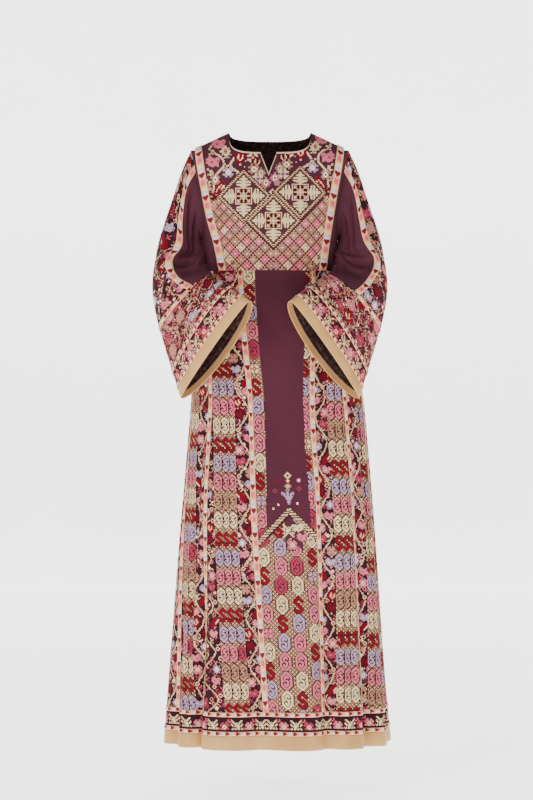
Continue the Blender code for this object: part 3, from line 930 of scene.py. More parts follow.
def hem_floral(rows, columns, phase):
    """Dark band with pink blossoms between cream crossed branches."""
    chart = np.full((rows, columns), DARK)
    pitch = 24
    for k in range(-1, columns // pitch + 2):
        outlined(chart, BRANCH, rows // 2, k * pitch + phase, (CREAM,), line=DARK)
        colours = ((PINK, ROSE)[k % 2], CREAM, MAROON)
        outlined(chart, BLOSSOM, rows // 2, k * pitch + phase + pitch // 2, colours, line=DARK)
        stamp(chart, TWIG, rows // 2 - 3, k * pitch + phase + 8, (ROSE,))
        stamp(chart, TWIG, rows // 2 + 4, k * pitch + phase + 16, (PINK,), True)
        stamp(chart, BUD, 3, k * pitch + phase + 7, (PINK, MAROON))
        stamp(chart, BUD, rows - 3, k * pitch + phase + 18, (BEIGE, MAROON))
    return chart


def finish_hem(chart, drops):
    """Put the floral band and its dark lines into the last rows of a gore's chart."""
    zone = HEM_BAND + HEM_RIBBON + HEM_FLORAL + HEM_RIBBON
    start = int(np.searchsorted(drops, HEM_DROP - zone + HEM_RIBBON - 0.002))
    rows = chart.shape[0] - start
    chart[start:] = hem_floral(rows, chart.shape[1], 5)
    chart[start:start + 2] = DARK
    chart[-6:-4] = DARK


def gore_chart(drops, width, seed, both, flipped):
    """Chart of a gore, counted from the seam nearer the front: vine, scrolls, then vines again.

    A flipped chart is turned left to right afterwards, so its scrolls are worked mirrored.
    """
    rows = len(drops) - 1
    columns = int(width.max()) + 3
    chart = vine_column(rows, columns, 11 * seed, seed + 40)
    far = columns - VINE_WIDTH - BLOCK_WIDTH
    rest = max(far, 4)
    chart[:, VINE_WIDTH + BLOCK_WIDTH:] = vine_column(rows, rest, 17 * seed, seed + 20)[:, :far]
    chart[:, :VINE_WIDTH] = vine_column(rows, VINE_WIDTH, 23 * seed, seed)
    block = scroll_block(rows, 5 + 4 * seed, flipped)
    chart[:, VINE_WIDTH:VINE_WIDTH + BLOCK_WIDTH] = block
    if both:
        r = np.arange(rows)[:, None]
        c = np.arange(columns)[None, :]
        from_far = (width[:-1, None] - 1 - c).astype(int)
        block = scroll_block(rows, 5 + 4 * seed, not flipped)
        second = np.concatenate((vine_column(rows, VINE_WIDTH, 9 * seed, seed + 7), block), axis=1)
        within = (from_far >= 0) & (from_far < VINE_WIDTH + BLOCK_WIDTH) & (c > VINE_WIDTH + BLOCK_WIDTH)
        picked = second[np.broadcast_to(r, chart.shape), np.clip(from_far, 0, second.shape[1] - 1)]
        chart = np.where(within, picked, chart)
    finish_hem(chart, drops)
    return chart


def front_chart(drops, width):
    """The front middle: plain panel between scroll columns, a chevron, and scrolls below it."""
    rows = len(drops) - 1
    columns = int(width.max()) + 3
    r, a = np.indices((rows, columns))
    b = (width[:-1, None] - 1 - a).astype(int)
    chart = net(rows, columns)
    cycle = (PINK, PINK, CREAM, RED, LAVENDER, PINK, ROSE, CREAM, RED, LAVENDER)
    for place in range(4):
        phase = 4 if place in (0, 3) else 13
        for k in range(-1, rows // SCROLL_ROWS + 2):
            middle = k * SCROLL_ROWS + phase
            at = min(max(middle, 0), rows - 1)
            column = int(width[at] * (place + 0.5) / 4)
            colour = cycle[(k + (2, 0, 1, 3)[place]) % len(cycle)]
            if colour == RED:
                outlined(chart, WIDE_SCROLL, middle, column, (RED,))
            elif (k + place) % 7 == 5:
                outlined(chart, BLOSSOM, middle, column, (colour, ROSE, CREAM))
            else:
                outlined(chart, WIDE_LOZENGE, middle, column, (colour, BROWN))
    apex = int((0.867 - WAIST_DROP) / STITCH)
    left = 12 + np.clip((apex - np.arange(rows)) / 60, 0, 2)
    right = 8
    middle = ((left + width[:-1] - right) / 2)[:, None]
    below = (r - apex) - np.abs(a - middle)
    plain = (a >= left[:, None]) & (b >= right) & (below < 0)
    chart[plain] = PLUM
    band = (below >= 0) & (below < 9) & (a >= 3) & (b >= 2)
    along = np.where(a < middle, r - a, r + a)
    ticks = np.where((along + below.astype(int)) % 5 < 2, BROWN, np.where(along % 3 == 0, BEIGE, CREAM))
    chart = np.where(band, np.where((below % 9 < 1) | (below % 9 > 7.9), BROWN, ticks), chart)
    nook = (below >= 10) & (below < 30) & (np.abs(a - middle - 4) < 9)
    chart[nook] = PLUM
    centre = int(middle[apex, 0])
    outlined(chart, LEAF, apex + 30, centre + 12, (PINK, ROSE), line=PLUM)
    stamp(chart, BRANCH, apex + 24, centre - 1, (CREAM,))
    stamp(chart, LEAF, apex + 21, centre + 9, (CREAM, PLUM), True)
    outlined(chart, BLOSSOM, apex + 37, centre + 2, (PINK, CREAM, RED), line=PLUM)
    stamp(chart, VASE, apex - 9, centre, (LAVENDER,))
    stamp(chart, GEM, apex - 19, centre, (BEIGE, CREAM))
    stamp(chart, GEM, apex - 24, centre, (RED, PALE))
    stamp(chart, GEM, apex - 29, centre, (CREAM, RED))
    for dr, dc, thread in ((-23, -10, RED), (-24, 11, PINK), (-14, -12, ROSE), (-16, 11, ROSE)):
        stamp(chart, BUD, apex + dr, centre + dc, (thread, (PALE if thread == PINK else PLUM)))
    for dr, dc, thread in ((-1, -9, PALE), (-2, 9, PALE), (3, -14, CREAM), (1, 14, RED), (-2, -8, RED)):
        stamp(chart, "## ##", apex + dr, centre + dc, (thread,))
    finish_hem(chart, drops)
    return chart


ARM_WIDTHS = (0, 0, 0, 0, 0, 0, 0, 0, 0, 1, 3, 6, 7, 2, 8, 6, 1, 5, 4, 1, 3, 2, 0, 0)
DIAMOND = 23
ROPE = 6


def snowflake(chart, row, column):
    """A diamond: four cream arms with jagged edges round a square star."""
    r, c = np.indices(chart.shape)
    down = np.abs(r - row)
    across = np.abs(c - column)
    far = np.maximum(down, across)
    near = np.minimum(down, across)
    field = down + across < DIAMOND
    chart[field] = PLUM
    widths = np.array(ARM_WIDTHS)[np.clip(far, 0, len(ARM_WIDTHS) - 1)]
    arms = field & (near <= widths) & (down + across < DIAMOND - 1)
    chart[arms & (far > 8)] = CREAM
    square = far <= 8
    chart[square] = np.where(far[square] == 8, CREAM, MAROON)
    chart[far == 7] = BROWN
    star = (near == 0) | (near == far) | ((far == 3) & (near < 2)) | ((far == 6) & (near > 3))
    chart[(far < 7) & star] = CREAM


def rope(chart, row, column):
    """The hatched border round a diamond."""
    r, c = np.indices(chart.shape)
    level = np.abs(r - row) + np.abs(c - column)
    run = np.abs(r - row) - np.abs(c - column)
    band = (level >= DIAMOND) & (level < DIAMOND + ROPE)
    hatch = np.where((run + 2 * level) % 5 < 2, BROWN, np.where(level % 3 == 0, BEIGE, CREAM))
    hatch = np.where((level == DIAMOND) | (level == DIAMOND + ROPE - 1), BROWN, hatch)
    chart[band] = hatch[band]


def vine_line(chart, places, thread=CREAM):
    """A line of stitches through places given as (row, column)."""
    rows, columns = np.array(places, dtype=float).T
    t = np.arange(len(rows), dtype=float)
    fine = np.linspace(0, t[-1], 40 * len(rows))
    r = np.round(curve(fine, t, rows)).astype(int)
    c = np.round(curve(fine, t, columns)).astype(int)
    inside = (r >= 0) & (r < chart.shape[0]) & (c >= 0) & (c < chart.shape[1] - 1)
    chart[r[inside], c[inside]] = thread
    chart[r[inside], c[inside] + 1] = thread


def chest_chart(rows, columns, middle):
    """The chest: flowers on plum at the top, three diamonds, and a lattice in V rows below."""
    chart = np.full((rows, columns), PLUM)
    r, c = np.indices(chart.shape)
    across = c - middle
    low_row, low_column = 92, 3
    level = np.abs(across - low_column) + (r - low_row)
    pitch = 12
    ring = (level - DIAMOND - ROPE) // pitch
    s = np.where(across < low_column, -1, 1)
    one = (level - DIAMOND - ROPE) % pitch
    sloping = r - low_row - s * (across - low_column)
    two = sloping % pitch
    squares = np.array((PINK, GREY, BEIGE, PINK, CREAM, GREY, BEIGE, CREAM))
    lattice = squares[(ring + 3 * (ring // 2) + 5 * ((sloping // pitch) % 3)) % len(squares)]
    lattice = np.where((ring % 3 == 2) & ((r + c) % 5 == 0), ROSE, lattice)
    lattice = np.where((ring == 4) & (one > 3) & (one < 8) & ((r + 2 * c) % 7 < 3), RED, lattice)
    mesh_marks = ((one == 4) | (one == 8) | (two == 4) | (two == 8)) & ((r + c) % 2 == 0)
    lattice = np.where(mesh_marks, np.where(ring % 2 == 0, BEIGE, ROSE), lattice)
    centre = (np.abs(one - 6.5) < 1) & (np.abs(two - 6.5) < 1)
    lattice = np.where(centre, np.where(ring % 2 == 0, PALE, CREAM), lattice)
    lattice = np.where((one < 2) | (two < 2), BROWN, lattice)
    lattice = np.where((one == 1) & (two % 4 == 2) | (two == 1) & (one % 4 == 2), BEIGE, lattice)
    lattice = np.where((one < 2) & (two < 2), DARK, lattice)
    below = level >= DIAMOND + ROPE
    chart[below] = lattice[below]
    diamonds = ((67, -27), (63, 30), (low_row, low_column))
    pink = (PINK, ROSE)
    for side in (-1, 1):
        lift = 0 if side < 0 else -5
        mirrored = side > 0

        def at(row, column):
            return row + lift, middle + side * column

        vine_line(chart, [at(8, 56), at(18, 62), at(27, 50), at(36, 48), at(45, 56), at(62, 60)])
        vine_line(chart, [at(25, 35), at(32, 40), at(37, 40), at(44, 31), at(50, 27)])
        vine_line(chart, [at(62, 60), at(70, 55), at(78, 60), at(86, 54)], BEIGE)
        for row, column in ((12, 53), (31, 59)):
            outlined(chart, LEAF, *at(row, column), pink, mirrored, PLUM, 1.5)
        for row, column in ((20, 60), (24, 44), (41, 62), (52, 64), (36, 44)):
            outlined(chart, TWIG, *at(row, column), (CREAM,), mirrored, PLUM, 1.3)
        for row, column, motif, threads in (
            (20, 46, STAR, (CREAM, BEIGE, ROSE)),
            (28, 31, TULIP, (RED, PALE, CREAM)),
            (42, 43, BLOSSOM, (LAVENDER, PALE, CREAM)),
            (44, 60, BUD, (CREAM, MAROON)),
            (49, 57, BLOSSOM, (BEIGE, PALE, RED)),
            (58, 52, FEATHER, (RED, CREAM, CREAM)),
            (66, 61, LEAF, (MAROON, BEIGE)),
            (74, 60, BUD, (CREAM, RED)),
            (27, 18, BLOSSOM, (CREAM, RED, PALE)),
            (33, 14, TULIP, (MAROON, CREAM, CREAM)),
            (39, 17, BLOSSOM, (BEIGE, PALE, ROSE)),
            (43, 10, STAR, (GREY, CREAM, RED)),
            (49, 13, BLOSSOM, (CREAM, LAVENDER, RED)),
            (53, 5, STAR, (PINK, PALE, MAROON)),
            (58, 8, GEM, (GREY, PINK)),
        ):
            stamp(chart, motif, *at(row, column), threads, mirrored, 1.25)
        for row, column in ((37, 26), (24, 40), (52, 38), (44, 34), (31, 25), (56, 47), (48, 22)):
            stamp(chart, "#", *at(row, column), (PALE,))
    centre_row = (DIAMOND * 2 + 17, middle + low_column - 1)
    outlined(chart, GEM, *centre_row, (CREAM, BROWN))
    for row, column in diamonds:
        edge = np.abs(r - row) + np.abs(c - column - middle)
        inside = edge < DIAMOND + ROPE
        keep = np.zeros_like(chart)
        rope(keep, row, column + middle)
        snowflake(keep, row, column + middle)
        chart[inside] = keep[inside]
    return chart


def back_chest_chart(rows, columns, middle):
    """The back: vines and scroll blocks side by side, the first edge of a vine at the left."""
    pairs = [
        (vine_column(rows, 20, 26 * pair, 2 * pair), scroll_block(rows, 6 * pair + 3))
        for pair in range(1 + columns // (20 + BLOCK_WIDTH))
    ]
    return np.concatenate([block for pair in pairs for block in pair], axis=1)[:, :columns]


def sleeve_chart(rows, columns, bell_row, floral_row, seed):
    """A sleeve: large vines side by side, finer mottled work low on the bell, and a floral cuff."""
    vines = [
        vine_column(rows, 24, 17 * number + 7 * seed, 2 * number + 3 * seed, 1.35)
        for number in range(1 + columns // 24)
    ]
    chart = np.concatenate(vines, axis=1)[:, :columns]
    fine = mottle(rows, columns, seed, (DARK, MAROON, BEIGE, DARK, BROWN, ROSE, DARK, BROWN, CREAM, DARK))
    r = np.arange(rows)[:, None]
    chart = np.where((chart == DARK) & (r > bell_row), fine, chart)
    band = hem_floral(rows - floral_row, columns, 9)
    speckled = mottle(rows - floral_row, columns, seed + 9, (DARK, MAROON, BROWN, DARK, DARK, BEIGE))
    chart[floral_row:] = np.where(band == DARK, speckled, band)
    c = np.arange(columns)[None, :]
    faded = (chart == CREAM) & ((r + 2 * c) % 3 == 0)
    chart = np.where(faded, BEIGE, chart)
    return np.where((chart == CREAM) & (r > bell_row) & ((2 * r + c) % 5 == 0), ROSE, chart)


# Materials


def linear(code):
    """An sRGB hex code as a linear colour."""
    srgb = np.array([int(code[k:k + 2], 16) for k in (0, 2, 4)]) / 255
    light = np.where(srgb <= 0.04045, srgb / 12.92, ((srgb + 0.055) / 1.055) ** 2.4)
    return (*light.tolist(), 1.0)


def put(tree, kind, inputs=(), stops=(), out=0, **settings):
    """Add one node and give one of its outputs.

    inputs holds a value or a link for each input, and stops a ramp's places and colours.
    """
    made = tree.nodes.new("ShaderNode" + kind)
    for key, value in settings.items():
        setattr(made, key, value)
    if stops:
        ramp = made.color_ramp
        while len(ramp.elements) < len(stops):
            ramp.elements.new(1.0)
        for element, (position, colour) in zip(ramp.elements, stops):
            element.position = position
            element.color = linear(colour)
    for key, value in dict(inputs).items():
        if isinstance(value, bpy.types.NodeSocket):
            tree.links.new(value, made.inputs[key])
        else:
            made.inputs[key].default_value = value
    return made.outputs[out]


def material(name, **sockets):
    """A material with a Principled shader whose named sockets hold these values, and its nodes."""
    made = bpy.data.materials.new(name)
    made.use_nodes = True
    for socket, value in sockets.items():
        made.node_tree.nodes["Principled BSDF"].inputs[socket.replace("_", " ")].default_value = value
    return made, made.node_tree


def finish(made, colour, height, strength, depth, under=()):
    """Give a material its colour and a bump, its depth in millimetres, over any other bump."""
    tree = made.node_tree
    shader = tree.nodes["Principled BSDF"]
    bump = {"Height": height, "Strength": strength, "Distance": depth * MM, **dict(under)}
    tree.links.new(colour, shader.inputs["Base Color"])
    tree.links.new(put(tree, "Bump", bump), shader.inputs["Normal"])
    return made


def crepe_nodes(tree, colour):
    """Crepe: a value that varies softly over some centimetres, and a fine pebbled height."""
    place = put(tree, "TexCoord", out="Object")
    broad = put(tree, "TexNoise", {"Vector": place, "Scale": 9.0, "Detail": 2.0})
    # The real yarn crinkle is about 0.4 mm apart, which is drawn at 1.2 mm so that it shows.
    pebble = put(tree, "TexNoise", {"Vector": place, "Scale": 820.0, "Detail": 2.0})
    shade = put(tree, "MapRange", {0: broad, 1: 0.3, 2: 0.7, 3: 0.90, 4: 1.08})
    return put(tree, "HueSaturation", {"Color": colour, "Value": shade}), pebble


def plum_crepe():
    """Polyester crepe, matte and fine: the eye sees soft folds and hardly any shine."""
    made, tree = material("plum polyester crepe", Roughness=0.8, Specular_IOR_Level=0.2)
    tint, pebble = crepe_nodes(tree, linear(THREADS["plum"]))
    return finish(made, tint, pebble, 0.25, 0.3)


def wrong_side():
    """The inside of the cloth: dark plum crossed by the floats of the stitching."""
    made, tree = material("wrong side of the plum cloth", Roughness=0.9, Specular_IOR_Level=0.1)
    place = put(tree, "TexCoord", out="Object")
    floats = put(tree, "TexNoise", {"Vector": place, "Scale": 120.0, "Detail": 3.0})
    stops = ((0.35, "2A171C"), (0.6, "43302C"), (0.75, "5E4B3E"))
    return finish(made, put(tree, "ValToRGB", {"Fac": floats}, stops), floats, 0.3, 0.6)


def cross_stitch():
    """Cotton and rayon cross stitch on the crepe: dull, slightly raised, uneven in tone, with painted shade
    low in each stitch and a faint painted highlight on its legs.
    """
    made, tree = material("cross stitch on plum crepe", Roughness=0.85, Specular_IOR_Level=0.12)
    thread = put(tree, "Attribute", out="Fac", attribute_name="thread")
    count = len(THREADS)
    share = put(tree, "Math", {0: thread, 1: 0.5}, operation="ADD")
    share = put(tree, "Math", {0: share, 1: count}, operation="DIVIDE")
    stops = [(k / count, code) for k, code in enumerate(THREADS.values())]
    palette = put(tree, "ValToRGB", {"Fac": share}, stops)
    palette.node.color_ramp.interpolation = "CONSTANT"
    # Each cell of the pattern map is one stitch, and its two legs are the cell's diagonals.
    cell = put(tree, "UVMap", uv_map="pattern")
    u = put(tree, "SeparateXYZ", {0: put(tree, "VectorMath", {0: cell}, operation="FRACTION")})
    v = u.node.outputs[1]
    rising = put(tree, "Math", {0: u, 1: v}, operation="SUBTRACT")
    rising = put(tree, "Math", {0: rising}, operation="ABSOLUTE")
    falling = put(tree, "Math", {0: u, 1: v}, operation="ADD")
    falling = put(tree, "Math", {0: falling, 1: 1.0}, operation="SUBTRACT")
    falling = put(tree, "Math", {0: falling}, operation="ABSOLUTE")
    legs = put(tree, "Math", {0: rising, 1: falling}, operation="MINIMUM")
    raised = put(tree, "MapRange", {0: legs, 1: 0.10, 2: 0.42, 3: 1.0, 4: 0.0})
    worked = put(tree, "Math", {0: thread, 1: 1.5}, operation="GREATER_THAN")
    height = put(tree, "Math", {0: raised, 1: worked}, operation="MULTIPLY")
    tint, pebble = crepe_nodes(tree, palette)
    # Painted shade and highlight: a worked stitch's colour is darkened where it lies low and lightened a
    # little along its raised legs, following its bump.
    stitch_relief_shading = put(tree, "MapRange", {0: raised, 1: 0.0, 2: 1.0, 3: 0.80, 4: 1.06})
    stitch_relief_shading = put(tree, "Mix", {0: worked, 2: 1.0, 3: stitch_relief_shading})
    colour = put(tree, "HueSaturation", {"Color": tint, "Value": stitch_relief_shading})
    bump = put(tree, "Bump", {"Height": height, "Strength": 0.5, "Distance": 0.5 * MM})
    return finish(made, colour, pebble, 0.2, 0.3, {"Normal": bump})


def satin():
    """Beige duchesse satin: a close weave with a soft, low shine along it."""
    made, tree = material("beige satin", Roughness=0.42, Specular_IOR_Level=0.4)
    place = put(tree, "TexCoord", out="Object")
    broad = put(tree, "TexNoise", {"Vector": place, "Scale": 14.0, "Detail": 2.0})
    colour = put(tree, "ValToRGB", {"Fac": broad}, ((0.3, "BC8C4C"), (0.7, "D0A163")))
    # Satin threads lie about 0.15 mm apart, drawn here at 0.9 mm so that they show.
    wave = put(tree, "TexNoise", {"Vector": place, "Scale": 1100.0, "Detail": 1.0})
    return finish(made, colour, wave, 0.12, 0.2)


def woven_ribbon(name, floats, reach, heart_end):
    """Jacquard ribbon of silky floss: peach edges, pink and lavender floats and dark red hearts.

    The floats change along each repeat, reach is their half width, and heart_end the share of
    the repeat that its heart takes.
    """
    made, tree = material(name, Roughness=0.6, Specular_IOR_Level=0.25)
    across = put(tree, "SeparateXYZ", {0: put(tree, "UVMap", uv_map="pattern")})
    along = put(tree, "Math", {0: across.node.outputs[1]}, operation="FRACT")
    across = put(tree, "Math", {0: across, 1: 0.5}, operation="SUBTRACT")
    across = put(tree, "Math", {0: across}, operation="ABSOLUTE")
    floats = put(tree, "ValToRGB", {"Fac": along}, floats)
    middle = put(tree, "MapRange", {0: across, 1: reach - 0.10, 2: reach + 0.06, 3: 1.0, 4: 0.0})
    colour = {0: middle, 6: linear("F0C089"), 7: floats}
    colour = put(tree, "Mix", colour, out=2, data_type="RGBA")
    # A heart: as wide as the ribbon's middle at its top, to a point below, with a notch above.
    fall = put(tree, "Math", {0: along, 1: heart_end}, operation="DIVIDE")
    width = put(tree, "Math", {0: 1.0, 1: fall}, operation="SUBTRACT")
    width = put(tree, "Math", {0: width, 1: 0.66}, operation="MULTIPLY")
    width = put(tree, "Math", {0: width, 1: 0.40}, operation="MINIMUM")
    body = put(tree, "Math", {0: across, 1: width}, operation="LESS_THAN")
    notch = put(tree, "Math", {0: across, 1: fall}, operation="ADD")
    notch = put(tree, "Math", {0: notch, 1: 0.09}, operation="GREATER_THAN")
    heart = put(tree, "Math", {0: body, 1: notch}, operation="MULTIPLY")
    selvedge = put(tree, "MapRange", {0: across, 1: 0.44, 2: 0.49, 3: 0.0, 4: 0.55})
    for share, code in ((heart, "780416"), (selvedge, "96524A")):
        colour = put(tree, "Mix", {0: share, 6: colour, 7: linear(code)}, out=2, data_type="RGBA")
    place = put(tree, "TexCoord", out="Object")
    ribs = put(tree, "TexNoise", {"Vector": place, "Scale": 900.0, "Detail": 1.0})
    return finish(made, colour, ribs, 0.3, 0.3)


def cord_binding():
    """Rolled neck binding: cream floss over a dark edge."""
    made, tree = material("cream floss binding", Roughness=0.7, Specular_IOR_Level=0.2)
    along = put(tree, "SeparateXYZ", {0: put(tree, "UVMap", uv_map="pattern")})
    twist = put(tree, "Math", {0: along, 1: 260.0}, operation="MULTIPLY")
    twist = put(tree, "Math", {0: twist}, operation="SINE")
    stops = ((0.0, "2E2226"), (0.42, "3A2A2C"), (0.50, "CBB28C"), (0.95, "D9C3A0"))
    colour = put(tree, "ValToRGB", {"Fac": along.node.outputs[1]}, stops)
    return finish(made, colour, twist, 0.3, 0.4)


CREPE = plum_crepe()
INSIDE = wrong_side()
STITCHED = cross_stitch()
SATIN = satin()
RIBBON = woven_ribbon("woven heart ribbon", (
    (0.0, "F4CFA4"), (0.26, "F2AE8E"), (0.36, "E6586A"), (0.52, "E2566A"), (0.62, "F6B468"),
    (0.76, "F8DCA4"), (0.83, "B9A4D0"), (0.94, "DAD0E8"), (1.0, "DAD0E8"),
), 0.34, 0.26)
NARROW = woven_ribbon("narrow woven ribbon", (
    (0.0, "EFC594"), (0.3, "E27B78"), (0.55, "EBA486"), (0.8, "D9C0C8"), (1.0, "EFC594"),
), 0.36, 0.50)
BINDING_LOOK = cord_binding()


# Pieces


def panel(node, points, normals, look, flip, coarse, **more):
    """Cloth on these points: a shell as thick as the wall, its seams' doubled corners joined."""
    outer = points + normals * WALL
    return shell(node, "cloth", outer, points, (look, INSIDE), flip, coarse, weld=True, **more)


def satin_band(node, points, normals, roll, looks, **more):
    """A satin band on these points, a little proud of the cloth and rounded from edge to edge."""
    crown = roll * np.sin(np.pi * np.linspace(0, 1, len(points)))[:, None, None]
    outer = points + normals * (WALL + BAND_LIFT + crown)
    return shell(node, "satin", outer, points, looks, **more)


def ribbon(node, points, normals, flip, pitch, look, wraps=False, seed=0.0):
    """A woven ribbon on the cloth: rows run along it, and it is slightly crowned across."""
    place = np.linspace(0, 1, points.shape[1])
    crown = RIBBON_CROWN * np.sin(np.pi * place)[:, None]
    lifted = points + normals * TRIM_LIFT
    outer = lifted + normals * (TRIM_WALL + crown)
    along = run_length(points[:, len(place) // 2])
    if not wraps:
        run = (place, along / pitch + seed)
        return shell(node, "weave", outer, lifted, (look, look), flip, run=run)
    # A ring holds a whole number of repeats, and its grid is turned, because columns wrap.
    whole = round(along[-1] / pitch)
    outer = np.swapaxes(outer, 0, 1)
    run = (place[:, None], np.broadcast_to(along / (along[-1] / whole), outer.shape[:2]))
    lifted = np.swapaxes(lifted, 0, 1)
    return shell(node, "weave", outer, lifted, (look, look), not flip, wraps=True, run=run)


def stitched_bodice():
    """Chest and back panels, from ribbon to ribbon and up to the neckline."""
    made = []
    for facing, node, step, chart in (
        (-1, "bodice_front", CHEST_STITCH, chest_chart),
        (1, "bodice_back", BACK_STITCH, back_chest_chart),
    ):
        drops = np.append(np.arange(0, WAIST_DROP, step), WAIST_DROP)
        wide = np.linspace(-CHEST_REACH, CHEST_REACH, 400)
        half = int(0.20 / step)
        arcs = np.arange(-half, half + 1) * step
        x = np.empty((len(drops), len(arcs)))
        for row, drop in enumerate(drops):
            # Above the shoulder's round, columns keep the spacing that they have just below it.
            length = run_length(np.stack((wide, torso_y(wide, max(drop, 0.06), facing)), axis=-1))
            x[row] = np.interp(arcs, length - np.interp(0.0, wide, length), wide)
        low = np.broadcast_to(drops[:, None], x.shape)
        x = np.clip(x, chest_line(low, -1), chest_line(low, 1))
        low = np.maximum(low, top_edge(x, facing))
        x = np.clip(x, chest_line(low, -1), chest_line(low, 1))
        points = bodice_points(x, low, facing)
        thread = chart(len(drops) - 1, len(arcs) - 1, half)
        normals = bodice_normals(x, low, facing)
        piece = panel(node, points, normals, STITCHED, facing > 0, 2, thread=thread)
        made.append((piece, points))
    return made


def side_panels():
    """Plain panels between the chest ribbons and the armholes, with a deep soft fold."""
    drops = np.linspace(SHOULDER_TIP_DROP, WAIST_DROP, 120)
    share = np.linspace(0, 1, 25)
    for facing, end in ((-1, "front"), (1, "back")):
        for side, name in SIDES:
            outer = side_line(drops, side)[:, None]
            inner = chest_line(drops, side)[:, None]
            x = outer + share * (inner - outer)
            drop = np.maximum(np.broadcast_to(drops[:, None], x.shape), top_edge(x, facing))
            points = bodice_points(x, drop, facing)
            normals = bodice_normals(x, drop, facing)
            depth = np.zeros(x.shape)
            for low, reach, place, width, deep in zip(*SIDE_CREASES.values()):
                fade = np.exp(-(((drop - low) / reach) ** 2)) * np.sin(np.pi * share) ** 0.7
                depth += deep * fade * np.exp(-(((share - place) / width) ** 2))
            points = (points - normals * depth[..., None])[:, ::-side]
            piece = panel(f"side_{end}_{name}", points, normals[:, ::-side], CREPE, facing > 0, 2)
            declare(piece, points)


def chest_ribbons():
    """Heart ribbons up the front, over the shoulder and down the back."""
    made = []
    for side, name in SIDES:
        halves = []
        for facing in (-1, 1):
            inwards = np.linspace(CHEST_RIBBON_HALF, -CHEST_RIBBON_HALF, 7) * side
            start = top_edge(chest_line(CHEST_RIBBON["drop"][0], side, inwards), facing)
            drop = start + np.linspace(0.0, 1.0, 150)[:, None] ** 1.5 * (WAIST_DROP - start)
            x = chest_line(drop, side, inwards)
            halves.append((bodice_points(x, drop, facing), bodice_normals(x, drop, facing)))
        (front, front_normals), (back, back_normals) = halves
        points = np.concatenate((front[::-1], back[1:]))
        normals = np.concatenate((front_normals[::-1], back_normals[1:]))
        normals[len(front) - 1] = unit(front_normals[0] + back_normals[0])
        node = f"ribbon_chest_{name}"
        made.append(ribbon(node, points, normals, False, -HEART_PITCH, RIBBON, seed=0.35))
    return made


def neck_bindings():
    """The rolled edge of the neckline and the slit, front and back."""
    made = []
    for facing, end in ((-1, "front"), (1, "back")):
        x = np.linspace(-NECK_HALF, NECK_HALF, 240)
        if facing < 0:
            x = np.unique(np.append(x, (SLIT_X - SLIT_HALF, SLIT_X, SLIT_X + SLIT_HALF)))
        depth = np.linspace(0, 1, 5)[:, None]
        in_slit = (np.abs(x - SLIT_X) < SLIT_HALF) & (facing < 0)
        drop = top_edge(x, facing) + depth * np.where(in_slit, SLIT_BINDING, NECK_BINDING)
        wide = np.broadcast_to(x, drop.shape)
        points = bodice_points(wide, drop, facing)
        normals = bodice_normals(wide, drop, facing)
        roll = 0.8 * MM * np.sin(np.pi * depth)[..., None]
        made.append(shell(
            f"neck_binding_{end}", "roll", points + normals * (WALL + 1.2 * MM + roll),
            points + normals * (WALL + 0.3 * MM), (BINDING_LOOK, BINDING_LOOK), facing > 0,
            run=(wide, np.broadcast_to(depth, drop.shape)),
        ))
    return made


def pick(rows, around, places):
    """Columns of a sleeve's points and normals at places round it, even on past the underarm."""
    places = (np.asarray(places) + HALF_ROUND) % (2 * HALF_ROUND) - HALF_ROUND
    at = np.interp(places, around, np.arange(len(around), dtype=float))
    low = np.clip(at.astype(int), 0, len(around) - 2)
    share = (at - low)[:, None]
    return [grid[:, low] * (1 - share) + grid[:, low + 1] * share for grid in rows]


def turned(rows):
    """Points and normals with rows and columns changed over."""
    return [np.swapaxes(grid, 0, 1) for grid in rows]


def sleeve_cloth(sleeve, name):
    """The stitched over-arm and bell in one, and its points. The grid's rows go down the sleeve."""
    around = sleeve.round
    middle = len(around) // 2
    count = int((sleeve.length[-1, middle] - CUFF_ZONE) / SLEEVE_STITCH)
    first = int(round(count * INSET_END))
    over_arm = np.linspace(0, INSET_END, first + 1)
    down = np.concatenate((over_arm, np.linspace(INSET_END, 1.0, count - first + 1)[1:]))
    zone = np.append(np.arange(CUFF_ZONE - SLEEVE_STITCH, CUFF_BAND, -SLEEVE_STITCH), CUFF_BAND)
    points, normals = sleeve.rows(down, zone)
    half = int(0.36 / SLEEVE_STITCH)
    arcs = np.broadcast_to(np.arange(-half, half + 1) * SLEEVE_STITCH, (len(points), 2 * half + 1))
    length = run_length(points, 1)
    length -= length[:, middle:middle + 1]
    limits = np.array([
        [np.interp(place, around, row) for place in (-BORDER, BORDER)] for row in length
    ])
    bell = np.arange(len(points)) > first
    limits[bell] = length[bell][:, (0, -1)]
    arcs = np.clip(arcs, limits[:, :1], limits[:, 1:])
    cloth, normals = along_rows(points, normals, arcs, middle)
    bell_row = int(first * 1.02)
    thread = sleeve_chart(len(cloth) - 1, 2 * half, bell_row, len(down) + 1, 3 + sleeve.side)
    node = f"sleeve_{name}"
    flip = sleeve.side > 0
    return panel(node, cloth, normals, STITCHED, flip, 3, sides=(0, first), thread=thread), cloth


